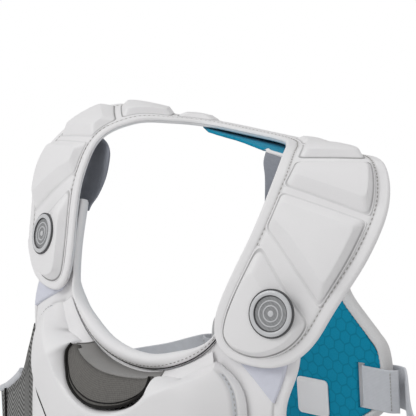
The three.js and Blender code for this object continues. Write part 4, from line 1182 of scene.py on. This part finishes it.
class CHESTPAD_OT_inner_straps(ChestPadOperator, bpy.types.Operator):
    """Make the grey webbing straps inside the shoulders"""
    bl_idname = "chestpad.inner_straps"
    bl_label = "Inner Straps"

    def make(self, sizes):
        for side, sign in SIDES:
            rows = INNER_STRAP[side]
            inner = line([(sign * r[0], r[1], r[2]) for r in rows])
            outer = line([(sign * r[3], r[4], r[5]) for r in rows])
            obj, base = webbing(
                f"inner_webbing_{side}", ruled(inner, outer), GRIDS["inner_strap"], STRAP_EDGE["inner"],
                "grey_webbing", f"inner_strap_{side}",
            )
            flat_size(base)


# Drops the height of a place given as x, z and height.
FLAT = (1, 1, 0)


# The chest's face
def chest_point(x, z):
    x, z = np.broadcast_arrays(np.asarray(x, float), np.asarray(z, float))
    side = np.abs(x)
    curl = WRAP["curl"] * (1 - smooth(WRAP["curl_full"], WRAP["curl_top"], z))
    bend = WRAP["slope"] * np.logaddexp(0, (side - WRAP["from"]) / WRAP["soft"]) * WRAP["soft"]
    wrap = bend + curl * np.maximum(0, side - WRAP["curl_from"]) ** 2
    return np.stack([x, look_up(CHEST_PROFILE, z) + wrap, z], axis=-1)


def chest_out(x, z):
    return facing_front(normal(chest_point, np.asarray(x, float), np.asarray(z, float), 0.5))


def on_chest(points):
    """Points given as x, z and the height off the chest."""
    x, z, height = points[..., 0], points[..., 1], points[..., 2]
    return chest_point(x, z) + chest_out(x, z) * height[..., None]


def chest_cord(name, places, radius, sides, **marks):
    """A black cord along places given as x, z and the height off the chest."""
    out = chest_out(places[:, 0], places[:, 1])
    return cord_tube(
        name, on_chest(places), out, radius, skin("black_piping"), sides, slot="black_piping", **marks,
    )


def chest_strip(inner, outer):
    first, second = mirrored(inner), mirrored(outer)

    def places(u, v):
        u, v = np.broadcast_arrays(np.asarray(u, float), np.asarray(v, float))
        flat = first(u) * (1 - v[..., None]) + second(u) * v[..., None]
        return flat[..., 0], flat[..., 1]

    return places


def strip_grid(strip, u, v):
    x, z = strip(u, v)
    return chest_point(x, z), chest_out(x, z)


class CHESTPAD_OT_chest(ChestPadOperator, bpy.types.Operator):
    """Make the chest's padded body with its stitched edge"""
    bl_idname = "chestpad.chest"
    bl_label = "Chest Body"

    def make(self, sizes):
        strip = chest_strip(NECK_LINE, CHEST_EDGE)
        rim = RIMS["chest"]
        along, across = GRIDS["chest"]
        u = eased(0, 1, along, 0.35)[:, None]
        v = eased(0, 1, across)[None]
        base, out = strip_grid(strip, u, v)
        edge, round_off, seam = sewn_rim(base, rim, rim["at"])
        seam = seam * smooth(*CHEST["seam_across"], v)
        front = CHEST["front_round"] * (round_off - 1) - rim["deep"] * seam
        outline = shield_outer(np.linspace(0, 1, 400)) * FLAT
        beside = bump_at(distance_to(on_chest(outline), base, closed=False), 0, CHEST["shade_wide"])
        lower = CHEST["shade_top"] + (1 - CHEST["shade_top"]) * smooth(*CHEST["shade_heights"], base[..., 2])
        thick = CHEST["edge"] + (1 - CHEST["edge"]) * half_round(edge, CHEST["back_round"])
        back = -CHEST_THICK * thick - CHEST["edge_drop"] * (1 - round_off)
        obj = shell(
            "chest_padding", base + out * front[..., None], base + out * back[..., None], skin("white_vinyl"),
            crease=rim["dark"] * seam + lower * beside, behind=0.0, slot="white_vinyl",
            stands_for=("chest_body",),
        )
        rows = np.linspace(*CHEST["stitch_along"], 500)
        path, up = strip_grid(strip, rows, np.full(len(rows), CHEST["stitch_from"]))
        inside = strip_grid(strip, rows, np.full(len(rows), CHEST["stitch_towards"]))[0] - path
        path = path + unit(inside) * CHEST["stitch_in"]
        stitches("chest_stitches", path - up * CHEST["stitch_sink"], up, skin("thread_pale"), "white_vinyl")


shield_inner = mirrored([row[0] for row in SHIELD_ROWS])
shield_ridge = mirrored([row[1] for row in SHIELD_ROWS])
shield_outer = mirrored([
    (*outer, SHIELD["rim"] if row < SHIELD["low_row"] else SHIELD["low_rim"])
    for row, (_, _, outer) in enumerate(SHIELD_ROWS)
])


def shield_face(u, v):
    """The shield's face as x, z and height: up from the pocket to a ridge, and a long fall outside it."""
    u, v = np.broadcast_arrays(np.asarray(u, float), np.asarray(v, float))
    inner, ridge, outer = shield_inner(u), shield_ridge(u), shield_outer(u)
    up = np.clip(v / SHIELD["ridge_at"], 0, 1)[..., None]
    past = np.clip((v - SHIELD["ridge_at"]) / (1 - SHIELD["ridge_at"]), 0, 1)[..., None]
    fall = 1 - past ** SHIELD["fall"]
    places = inner + (ridge - inner) * up + (outer - ridge) * past
    rise = inner[..., 2:] + (ridge - inner)[..., 2:] * up * (1 + SHIELD["bulge"] - SHIELD["bulge"] * up)
    drop = outer[..., 2:] + (ridge - outer)[..., 2:] * fall
    places[..., 2:] = np.where(past > 0, drop, rise)
    return places


def from_rim(u, distance):
    """The place across the shield that lies a distance inside its outer edge."""
    reach = np.linalg.norm((shield_outer(u) - shield_ridge(u))[..., :2], axis=-1)
    return 1 - (1 - SHIELD["ridge_at"]) * distance / reach


class CHESTPAD_OT_shield(ChestPadOperator, bpy.types.Operator):
    """Make the domed shield on the chest, with its lobes and sewn strips"""
    bl_idname = "chestpad.shield"
    bl_label = "Chest Shield"

    def make(self, sizes):
        along, across = GRIDS["shield"]
        u, v = np.broadcast_arrays(eased(0, 1, along, 0.3)[:, None], eased(0, 1, across)[None])
        places = shield_face(u, v)
        base = on_chest(places * FLAT)
        edge = distance_to(rim_of(base), base)
        from_end = np.minimum(u, 1 - u)
        lobes = smooth(*SHIELD_MARKS["lobe"], from_end) * smooth(*SHIELD_MARKS["lobe_tip"], from_end)
        reach = np.linalg.norm((shield_outer(u) - shield_ridge(u))[..., :2], axis=-1)
        inside = (1 - v) / (1 - SHIELD["ridge_at"]) * reach
        middle = (STRIP["near"] + STRIP["far"]) / 2
        groove = np.exp(-((inside - middle) / SHIELD_MARKS["groove_wide"]) ** 4) * lobes
        low_edge = (v > SHIELD_MARKS["slit_across"]) * smooth(*SHIELD_MARKS["slit_along"], from_end)
        slit_shadow = bump_at(edge, 0, SHIELD_MARKS["slit_wide"]) * low_edge
        notch = bump_at(from_end, NOTCH["at"], NOTCH["wide"]) * bump_at(v, 0, NOTCH["deep"])
        depth = places[..., 2] - SHIELD["seat"]
        outside = smooth(*SHIELD_MARKS["roll_across"], v)
        roll = np.minimum(depth, SHIELD["round"]) * (1 - outside) + SHIELD_MARKS["roll"] * depth * outside
        places[..., 2] -= roll * (1 - half_round(edge, SHIELD["round"])) + groove + NOTCH["drop"] * notch
        # The groove, the slit under the lower edge and the notch are darkened with painted shade.
        marks = ((groove, "groove_dark"), (slit_shadow, "slit_dark"), (notch, "notch_dark"))
        obj = shell(
            "chest_shield_pad", on_chest(places), on_chest(places * FLAT + (0, 0, SHIELD["lift"])),
            skin("white_vinyl"), crease=sum(SHIELD_MARKS[dark] * mark for mark, dark in marks),
            slot="white_vinyl", stands_for=("chest_shield",),
        )
        # A black cord just beyond the shield's lower edge paints the shadow in the slit under it.
        span = np.linspace(SLIT_SHADOW_CORD["from"], 1 - SLIT_SHADOW_CORD["from"], 300)
        rows = shield_outer(span)
        away = (rows - shield_ridge(span)) * FLAT
        rows = rows * FLAT + unit(away) * SLIT_SHADOW_CORD["beyond"] + (0, 0, SLIT_SHADOW_CORD["height"])
        chest_cord("shield_slit", rows, SLIT_SHADOW_CORD["radius"], 10)
        for side, sign in SIDES:
            self.strip(side, sign)

    def strip(self, side, sign):
        """The narrow stitched strip inside a lobe's outer roll."""
        along, across = GRIDS["strip"]
        u = np.linspace(STRIP["from"], STRIP["to"], along)
        u = (u if sign > 0 else 1 - u)[:, None]
        share = np.linspace(0, 1, across)[None]
        places = shield_face(u, from_rim(u, STRIP["far"]) * (1 - share) + from_rim(u, STRIP["near"]) * share)
        rim = half_round(distance_to(rim_of(on_chest(places)), on_chest(places)), STRIP["round"])
        low = places - (0, 0, STRIP["low"])
        places[..., 2] += STRIP["crown"] * rim - STRIP["sink"]
        obj = shell(
            f"shield_webbing_{side}", on_chest(places), on_chest(low), skin("pale_elastic"),
            lay=grid_lay(on_chest(places)), slot="pale_elastic", stands_for=(f"shield_strip_{side}",),
        )
        row = places[:, STRIP["stitch_column"]] + (0, 0, STRIP["stitch_lift"])
        way = chest_out(row[:, 0], row[:, 1])
        stitches(f"shield_stitches_{side}", on_chest(row), way, skin("thread_pale"), "white_vinyl")


class CHESTPAD_OT_collar(ChestPadOperator, bpy.types.Operator):
    """Make the soft roll round the neck, with its stitch row and dark seam"""
    bl_idname = "chestpad.collar"
    bl_label = "Collar"

    def make(self, sizes):
        neck = mirrored(NECK_LINE)
        along, sides = GRIDS["collar"]
        u = np.linspace(0, 1, along)
        flat = neck(u)
        x, z = flat[:, 0], flat[:, 1]
        way = unit(neck(np.minimum(u + 1e-4, 1)) - neck(np.maximum(u - 1e-4, 0)))
        inward = np.stack([-way[:, 1], np.zeros_like(u), way[:, 0]], axis=1)
        towards = np.stack([-x, np.zeros_like(u), COLLAR["middle_z"] - z], axis=1)
        inward *= np.sign(np.sum(inward * towards, axis=1))[:, None]
        out = chest_out(x, z)
        wide = unit(inward - out * np.sum(inward * out, axis=1, keepdims=True))
        flatter = smooth(COLLAR["low"], COLLAR["high"], z)
        deep = COLLAR["deep"] + (COLLAR["deep_at_tab"] - COLLAR["deep"]) * flatter
        edge = chest_point(x, z)
        slim = smooth(COLLAR["slim_low"], COLLAR["slim_high"], z)
        broad = (COLLAR["wide"] + (COLLAR["wide_at_tab"] - COLLAR["wide"]) * slim)[:, None]
        centre = edge + wide * (broad + COLLAR["off"]) - out * COLLAR["sink"]
        obj = tube(
            "collar", centre, wide * broad, out * deep[:, None], sides, skin("white_vinyl"),
            slot="white_vinyl", stands_for=("collar_roll",),
        )
        angle, first = math.radians(COLLAR["stitch_angle"]), COLLAR["stitch_from"]
        row = centre + wide * broad * math.cos(angle) + out * deep[:, None] * math.sin(angle)
        ahead = unit(wide * math.cos(angle) + out * math.sin(angle))
        path, ahead = (row + ahead * COLLAR["stitch_lift"])[first:-first], ahead[first:-first]
        stitches("collar_stitches", path, ahead, skin("thread_pale"), "white_vinyl")
        angle, first = math.radians(COLLAR["seam_angle"]), COLLAR["seam_from"]
        joint = centre + wide * broad * math.cos(angle) + out * deep[:, None] * math.sin(angle)
        cord_tube(
            "collar_seam", joint[first:-first], out[first:-first], COLLAR["seam_radius"],
            skin("black_piping"), slot="black_piping",
        )


class CHESTPAD_OT_pocket(ChestPadOperator, bpy.types.Operator):
    """Make the woven pocket with its piping and the satin ledge over it"""
    bl_idname = "chestpad.pocket"
    bl_label = "Pocket"

    def make(self, sizes):
        top, bottom = mirrored(POCKET_TOP), mirrored(POCKET_BOTTOM)
        along, across = GRIDS["pocket"]
        u, v = eased(*POCKET["along"], along, 0.5), eased(*POCKET["across"], across)[None, :, None]
        places = top(u)[:, None] * (1 - v) + bottom(u)[:, None] * v
        base = on_chest(places)
        edge = distance_to(rim_of(base), base)
        low = places - (0, 0, POCKET["thick"])
        crown = POCKET["crown"] * smooth(POCKET["crown_from"], POCKET["crown_full"], edge)
        places[..., 2] += crown - POCKET["edge"] * (1 - half_round(edge, POCKET["round"]))
        obj = shell(
            "pocket", on_chest(places), on_chest(low), skin("pocket_weave"), lay=grid_lay(base),
            crease=POCKET["dark"] * bump_at(edge, 0, POCKET["round"]), slot="pocket_weave",
            stands_for=("pocket_panel",),
        )
        run = np.linspace(*POCKET["cord_along"], 180)
        lift = (0, 0, POCKET["lift"])
        chest_cord("pocket_cord", bottom(run) + lift, POCKET["cord"], 14, stands_for=("pocket_piping",))
        short = POCKET["inner_short"]
        inner = top(run) * POCKET["inner_at"] + bottom(run) * (1 - POCKET["inner_at"])
        chest_cord("pocket_inner_cord", inner[short:-short] + lift, POCKET["inner_cord"], 10)
        self.ledge()

    def ledge(self):
        """The ledge over the pocket, satin in its middle, with a seam at each end of the satin."""
        along, across = GRIDS["ledge"]
        u = np.linspace(0, 1, along)
        share = np.linspace(0, 1, across)[None, :, None]
        foot, front = on_chest(mirrored(LEDGE_FOOT)(u)), on_chest(mirrored(LEDGE_EDGE)(u))
        face = foot[:, None] * (1 - share) + front[:, None] * share
        face[..., 2:] -= LEDGE["sag"] * np.sin(math.pi * share)
        satin = np.abs(0.5 - u[:-1, None]) + np.zeros(across - 1) < LEDGE["satin"]
        obj = shell(
            "pocket_ledge", face, face - (0, 0, LEDGE["thick"]), skin("white_vinyl"), skin("satin_band"),
            parts=satin.astype(int), lay=grid_lay(face), slot="satin_band", stands_for=("pocket_band",),
        )
        flat_size(face)
        for side, sign in SIDES:
            row = np.abs(u - (0.5 - sign * LEDGE["satin"])).argmin()
            path = face[row] + (0, 0, LEDGE["seam_lift"])
            cord_tube(
                f"ledge_seam_{side}", path, LEDGE["up"], LEDGE["seam"], skin("thread_grey"),
                slot="satin_band",
            )


class CHESTPAD_OT_loops(ChestPadOperator, bpy.types.Operator):
    """Make the loop fabric patches under the yoke's arms"""
    bl_idname = "chestpad.loops"
    bl_label = "Loop Patches"

    def make(self, sizes):
        along, across = GRIDS["loop"]
        k = np.linspace(PATCH["from"], PATCH["to"], along)[:, None]
        share = eased(0, 1, across)[None]
        reach = PATCH["inset"] * tip_share(k)
        inner, outer = np.maximum(PATCH["inner"], -reach), np.minimum(PATCH["outer"], reach)
        t = inner + (outer - inner) * share
        for side, sign in SIDES:
            front = raised(yoke_face, sign * (k + 0 * t), t, -YOKE_THICK - GAP)
            x, z = front[..., 0], front[..., 2]
            back = chest_point(x, z) + chest_out(x, z) * PATCH["off_chest"]
            obj = shell(
                f"loop_pad_{side}", front, back, skin("loop_fabric"), lay=grid_lay(front), slot="loop_fabric",
                stands_for=(f"loop_patch_{side}",),
            )
            self.face(side, sign)

    def face(self, side, sign):
        """The thin end of the patch that lies on the chest."""
        first, second = (line([(sign * x, z, 0.0) for x, z in edge]) for edge in (LOOP_INNER, LOOP_OUTER))
        along, across = GRIDS["loop_face"]
        u, v = np.linspace(0, 1, along), np.linspace(0, 1, across)[None, :, None]
        places = first(u)[:, None] * (1 - v) + second(u)[:, None] * v
        rim = half_round(distance_to(rim_of(places), places), LOOP_END["round"])
        low = on_chest(places + (0, 0, LOOP_END["low"]))
        places[..., 2] = LOOP_END["edge"] + LOOP_END["rise"] * rim
        obj = shell(f"loop_face_{side}", on_chest(places), low, skin("loop_fabric"), slot="loop_fabric")


class CHESTPAD_OT_wings(ChestPadOperator, bpy.types.Operator):
    """Make the herringbone side wings with their black piping"""
    bl_idname = "chestpad.wings"
    bl_label = "Side Wings"

    def make(self, sizes):
        rim = RIMS["wing"]
        along, across = GRIDS["wing"]
        for side, sign in SIDES:
            top = line([(sign * x, y, high) for x, y, high in WING_TOP])
            bottom = line([(sign * x, y, low) for x, y, low in WING_BOTTOM])
            face = ruled(top, bottom)
            u, v = np.broadcast_arrays(eased(0, 1, along)[:, None], eased(0, 1, across)[None])
            base = face(u, v)
            out = facing_front(normal(face, u, v))
            edge, round_off, seam = sewn_rim(base, rim, rim["at"])
            half = WING_THICK / 2 * (WING["edge"] + (1 - WING["edge"]) * round_off)
            puff = WING["puff"] * smooth(rim["at"], WING["puff_full"], edge) - rim["deep"] * seam
            obj = shell(
                f"wing_{side}", base + out * (half + puff)[..., None], base - out * half[..., None],
                skin("herringbone"), lay=grid_lay(base), crease=rim["dark"] * seam, slot="herringbone",
                stands_for=(f"side_wing_{side}",),
            )
            rows = np.linspace(*WING["piping_along"], 60)
            place = np.full(len(rows), WING["piping_at"])
            way = facing_front(normal(face, place, rows))
            rise = WING_THICK / 2 + PIPING_RADIUS * WING["piping_rise"] + WING["piping_clear"]
            path = face(place, rows) + way * rise
            cord_tube(
                f"wing_cord_{side}", path, way, WING["piping"] * PIPING_RADIUS, skin("black_piping"), 12,
                slot="black_piping", stands_for=(f"wing_piping_{side}",),
            )
            roll = top(np.linspace(WING["roll_from"], 1, 40)) + (0, 0, WING["roll_up"])
            hem = cord_tube(
                f"wing_roll_{side}", roll, FORWARD, WING["roll"], skin("pale_elastic"), 16,
                slot="pale_elastic",
            )
            row = np.linspace(*WING["stitches"], 120)
            below = rim["at"] / np.linalg.norm(top(row) - bottom(row), axis=1)
            up = facing_front(normal(face, row, below))
            path = face(row, below) + up * (WING_THICK / 2 - WING["stitch_sink"])
            stitches(f"wing_stitches_{side}", path, up, skin("thread_pale"), "herringbone")


# The back panel's face: a sideways from its midline, b up from its neck.
def back_face(a, b):
    a, b = np.broadcast_arrays(np.asarray(a, float), np.asarray(b, float))
    lean = BACK_LEAN["angle"] * (1 - smooth(BACK_LEAN["full"], BACK_LEAN["from"], b))
    height = BACK_NECK_Z + a * np.sin(lean) + b
    x = look_up(BACK_ROWS, b) + a * np.cos(lean)
    return np.stack([x, look_up(BACK_PROFILE, height), height], axis=-1)


def back_out(a, b):
    out = normal(back_face, np.asarray(a, float), np.asarray(b, float), 0.5)
    return out * np.sign(out[..., 1:2])


def behind(a, b, depth):
    a, b = np.broadcast_arrays(np.asarray(a, float), np.asarray(b, float))
    return back_face(a, b) + back_out(a, b) * np.asarray(depth, float)[..., None]


def lay_on_back(obj):
    """Mark where each point of a piece lies in the back panel's flat cloth: sideways and up."""
    mesh = obj.data
    places = np.array([point.co for point in mesh.vertices])
    where = mesh.attributes.get("lay") or mesh.attributes.new("lay", "FLOAT_VECTOR", "POINT")
    flat = np.stack([places[:, 0], places[:, 2], 0 * places[:, 0]], axis=1)
    where.data.foreach_set("vector", flat.astype(np.float32).ravel())


def cut_slots(obj):
    """Open the strap slots through a piece."""
    for _, sign in SIDES:
        centre = back_face(sign * SLOT["a"], SLOT["b"]) * MM
        bpy.ops.mesh.primitive_cube_add(location=centre)
        tool = bpy.context.object
        tool.dimensions = (SLOT["wide"] * MM, 4 * BACK_THICK * MM, SLOT["tall"] * MM)
        tool.rotation_euler = (0, -BACK_LEAN["angle"], 0)
        bpy.context.view_layer.update()
        cut = obj.modifiers.new("slot", "BOOLEAN")
        cut.object = tool
        cut.operation = "DIFFERENCE"
        cut.solver = "EXACT"
        bpy.context.view_layer.update()
        bpy.context.view_layer.objects.active = obj
        bpy.ops.object.modifier_apply(modifier=cut.name)
        bpy.data.objects.remove(tool, do_unlink=True)


class CHESTPAD_OT_back(ChestPadOperator, bpy.types.Operator):
    """Make the back panel: shell, knit lining, bound edge and blank label patch"""
    bl_idname = "chestpad.back"
    bl_label = "Back Panel"

    def make(self, sizes):
        self.sheets()
        self.tape()
        self.label()

    def sheets(self):
        upper = eased(BACK_ROWS[0][0], BACK_STEPS["turn"], BACK_STEPS["above"], 0.5)
        lower = eased(BACK_STEPS["turn"], BACK_ROWS[-1][0], BACK_STEPS["below"], 0.5)
        b = np.concatenate([upper, lower[1:]])[:, None]
        share = eased(-1, 1, BACK_STEPS["across"])[None]
        a = share * look_up(BACK_ROWS, b, 2)
        b = b + 0 * a
        base, out = back_face(a, b), back_out(a, b)
        rim = RIMS["back"]
        _, round_off, seam = sewn_rim(base, rim, rim["at"])
        outer = BACK_THICK / 2 * (1 + round_off) - rim["deep"] * seam
        inner = BACK_THICK / 2 * (1 - round_off)
        obj = shell(
            "back_shell", base + out * outer[..., None], base + out * inner[..., None], skin("white_vinyl"),
            crease=rim["dark"] * seam, slot="back_shell", stands_for=("back_panel",),
        )
        cut_slots(obj)
        self.knit(a, b)

    def knit(self, a, b):
        """The knit lining inside the panel, with its box stitches."""
        low = b[:, 0] < KNIT["top"]
        a, b = a[low] * KNIT["share"], b[low]
        base, out = back_face(a, b), back_out(a, b)
        round_off = half_round(distance_to(rim_of(base), base), KNIT["round"])
        near, far = (GAP + LINING_THICK / 2 * (1 + turn * round_off) for turn in (-1, 1))
        obj = shell(
            "back_knit", base - out * far[..., None], base - out * near[..., None], skin("teal_knit"),
            slot="teal_lining", stands_for=("back_lining",),
        )
        cut_slots(obj)
        lay_on_back(obj)
        share = np.linspace(0, 1, 80)[:, None]
        for index, (start, stop) in enumerate(BOX_STITCHES):
            way = np.array(start) * (1 - share) + np.array(stop) * share
            up = -back_out(way[:, 0], way[:, 1])
            path = behind(way[:, 0], way[:, 1], -LINING_THICK - GAP)
            stitches(f"back_box_stitches_{index}", path, up, skin("thread_brown"), "teal_lining",
                     pitch=KNIT["pitch"])

    def tape(self):
        half = [(row[2], row[0]) for row in BACK_ROWS if row[0] <= 0]
        edge = line(half + [(-x, b) for x, b in reversed(half)])
        u = np.linspace(0, 1, 420)
        flat = edge(u)
        way = unit(edge(np.minimum(u + 1e-3, 1)) - edge(np.maximum(u - 1e-3, 0)))
        side = np.stack([-way[:, 1], way[:, 0]], axis=1)
        from_centre = flat - np.array([0, BACK_CENTRE_B])
        side *= np.sign(np.sum(side * from_centre, axis=1))[:, None]
        middle = (BACK_THICK - LINING_THICK) / 2

        def place(reach):
            out = flat + side * reach
            return behind(out[:, 0], out[:, 1], middle)

        centre = place(TAPE["out"])
        wide = unit(place(TAPE["beyond"]) - centre)
        deep = back_out(flat[:, 0], flat[:, 1])
        obj = tube("back_tape", centre, wide * TAPE["wide"], deep * TAPE["deep"], 20, skin("binding_tape"),
                   slot="binding", stands_for=("back_binding",))
        for name, turn in (("inner", -1), ("outer", 1)):
            path = centre - wide * TAPE["stitch_in"] + deep * turn * TAPE["stitch_deep"]
            up = unit(deep * turn - wide * TAPE["stitch_lean"])
            stitches(f"back_tape_stitches_{name}", path, up, skin("thread_pale"), "binding")

    def label(self):
        corners = np.array([(1, 1), (-1, 1), (-1, -1), (1, -1)]) * (LABEL["wide"] / 2, LABEL["tall"] / 2)
        corners = corners + (LABEL["a"], LABEL["b"])
        rings = []
        for inset, _ in LABEL_SECTION:
            radius = max(LABEL["round"] - inset, LABEL["least_round"])
            rings.append(rounded_outline(outline_inset(corners, inset), radius, 8, 12))
        places = np.stack(rings)
        rise = np.array([up for _, up in LABEL_SECTION])[:, None]
        depth = -LINING_THICK - 2 * GAP - rise + 0 * places[..., 0]
        points = behind(places[..., 0], places[..., 1], depth)
        lay = np.stack([places[..., 0], places[..., 1], 0 * depth], axis=2)
        piece("label_patch", points, capped_rings(*places.shape[:2]), skin("white_vinyl"), lay=lay,
              slot="binding", stands_for=("back_patch",))


class CHESTPAD_OT_side_straps(ChestPadOperator, bpy.types.Operator):
    """Make the elastic side straps looped through the back panel"""
    bl_idname = "chestpad.side_straps"
    bl_label = "Side Straps"

    def make(self, sizes):
        for side, sign in SIDES:
            height = 2 if sign > 0 else 3

            def edge(up):
                loop = [behind(sign * a, SLOT["b"] + up, depth) for a, depth in STRAP_LOOP]
                run = [np.array((sign * row[0], row[1], row[height] + up)) for row in STRAP_RUN]
                return line(loop + run)

            face = ruled(edge(STRAP_WIDE / 2), edge(-STRAP_WIDE / 2))
            obj, base = webbing(
                f"rib_strap_{side}", face, GRIDS["side_strap"], STRAP_EDGE["side"], "pale_elastic",
                f"side_strap_{side}",
            )
            flat_size(base)
            reach = STRAP_STITCHES["reach"]
            rows = np.linspace(SLOT["b"] - reach, SLOT["b"] + reach, 40)
            for index, a in enumerate(STRAP_STITCHES["at"]):
                across = np.full(len(rows), sign * a)
                path = behind(across, rows, -STRAP_STITCHES["depth"] - STRAP_THICK / 2)
                stitches(f"rib_strap_stitches_{side}_{index}", path, -back_out(across, rows),
                         skin("thread_pale"), "pale_elastic", pitch=STRAP_STITCHES["pitch"])


class CHESTPAD_OT_stage(ChestPadOperator, bpy.types.Operator):
    """Make the pale floor, the soft lights and the camera"""
    bl_idname = "chestpad.stage"
    bl_label = "Stage"

    def make(self, sizes):
        scene = bpy.context.scene
        aim = Vector(VIEW["aim"]) * MM
        azimuth, elevation = math.radians(VIEW["azimuth"]), math.radians(VIEW["elevation"])
        level = math.cos(elevation)
        way = Vector((math.sin(azimuth) * level, -math.cos(azimuth) * level, math.sin(elevation)))
        data = bpy.data.cameras.new("camera")
        data.lens = VIEW["lens"]
        data.sensor_width = 36.0
        data.clip_start = 0.01
        camera = bpy.data.objects.new("camera", data)
        camera.location = aim + way * VIEW["distance"] * MM
        camera.rotation_euler = (-way).to_track_quat("-Z", "Y").to_euler()
        scene.collection.objects.link(camera)
        scene.camera = camera
        self.floor(CAD_BOX[0][2] - FLOOR["below"])
        for name, toward, away, size, power in SOFTBOXES:
            lamp = bpy.data.lights.new(name, "AREA")
            lamp.size = size
            lamp.energy = power
            light = bpy.data.objects.new(name, lamp)
            light.location = aim + Vector(toward).normalized() * away
            light.rotation_euler = (aim - light.location).to_track_quat("-Z", "Y").to_euler()
            scene.collection.objects.link(light)
        world = bpy.data.worlds.new("studio")
        world.use_nodes = True
        sky = world.node_tree.nodes["Background"]
        sky.inputs["Color"].default_value = (1, 1, 1, 1)
        sky.inputs["Strength"].default_value = SKY_STRENGTH
        scene.world = world
        scene.view_settings.view_transform = "Standard"

    def floor(self, height):
        mesh = bpy.data.meshes.new("floor")
        reach = FLOOR["reach"]
        corners = [(x * reach, y * reach, height) for x, y in ((-1, -1), (1, -1), (1, 1), (-1, 1))]
        mesh.from_pydata(corners, [], [(0, 1, 2, 3)])
        material = bpy.data.materials.new("pale_floor")
        material.use_nodes = True
        tree = material.node_tree
        surface = tree.nodes["Principled BSDF"]
        surface.inputs["Base Color"].default_value = (0.9, 0.9, 0.9, 1)
        surface.inputs["Roughness"].default_value = 0.9
        glow = node(tree, "ShaderNodeEmission", {"Color": (1, 1, 1, 1), "Strength": 1.0})
        seen = node(tree, "ShaderNodeLightPath").outputs["Is Camera Ray"]
        mix = node(tree, "ShaderNodeMixShader", {0: seen, 1: surface.outputs[0], 2: glow.outputs[0]})
        tree.links.new(mix.outputs[0], tree.nodes["Material Output"].inputs["Surface"])
        mesh.materials.append(material)
        obj = bpy.data.objects.new("floor", mesh)
        bpy.context.scene.collection.objects.link(obj)


OPERATORS = (
    CHESTPAD_OT_stage, CHESTPAD_OT_yoke, CHESTPAD_OT_blocks, CHESTPAD_OT_badges, CHESTPAD_OT_lining,
    CHESTPAD_OT_chest, CHESTPAD_OT_shield, CHESTPAD_OT_collar, CHESTPAD_OT_pocket, CHESTPAD_OT_inner_straps,
    CHESTPAD_OT_loops, CHESTPAD_OT_wings, CHESTPAD_OT_back, CHESTPAD_OT_side_straps,
)


class CHESTPAD_PT_sidebar(bpy.types.Panel):
    """Steps of the chest pad"""
    bl_idname = "CHESTPAD_PT_sidebar"
    bl_label = "Chest Pad"
    bl_space_type = "VIEW_3D"
    bl_region_type = "UI"
    bl_category = "Chest Pad"

    def draw(self, context):
        for group in (context.scene.chest_pad_sizes, context.scene.chest_pad_colours):
            for key in group.__annotations__:
                self.layout.prop(group, key)
        for step in OPERATORS:
            self.layout.operator(step.bl_idname)


CLASSES = (ChestPadSizes, ChestPadColours, *OPERATORS, CHESTPAD_PT_sidebar)


def register():
    for each in CLASSES:
        bpy.utils.register_class(each)
    bpy.types.Scene.chest_pad_sizes = bpy.props.PointerProperty(type=ChestPadSizes)
    bpy.types.Scene.chest_pad_colours = bpy.props.PointerProperty(type=ChestPadColours)


def unregister():
    del bpy.types.Scene.chest_pad_colours
    del bpy.types.Scene.chest_pad_sizes
    for each in reversed(CLASSES):
        bpy.utils.unregister_class(each)


def main():
    register()
    make_finishes()
    for step in OPERATORS:
        group, name = step.bl_idname.split(".")
        getattr(getattr(bpy.ops, group), name)()


if __name__ == "__main__":
    main()
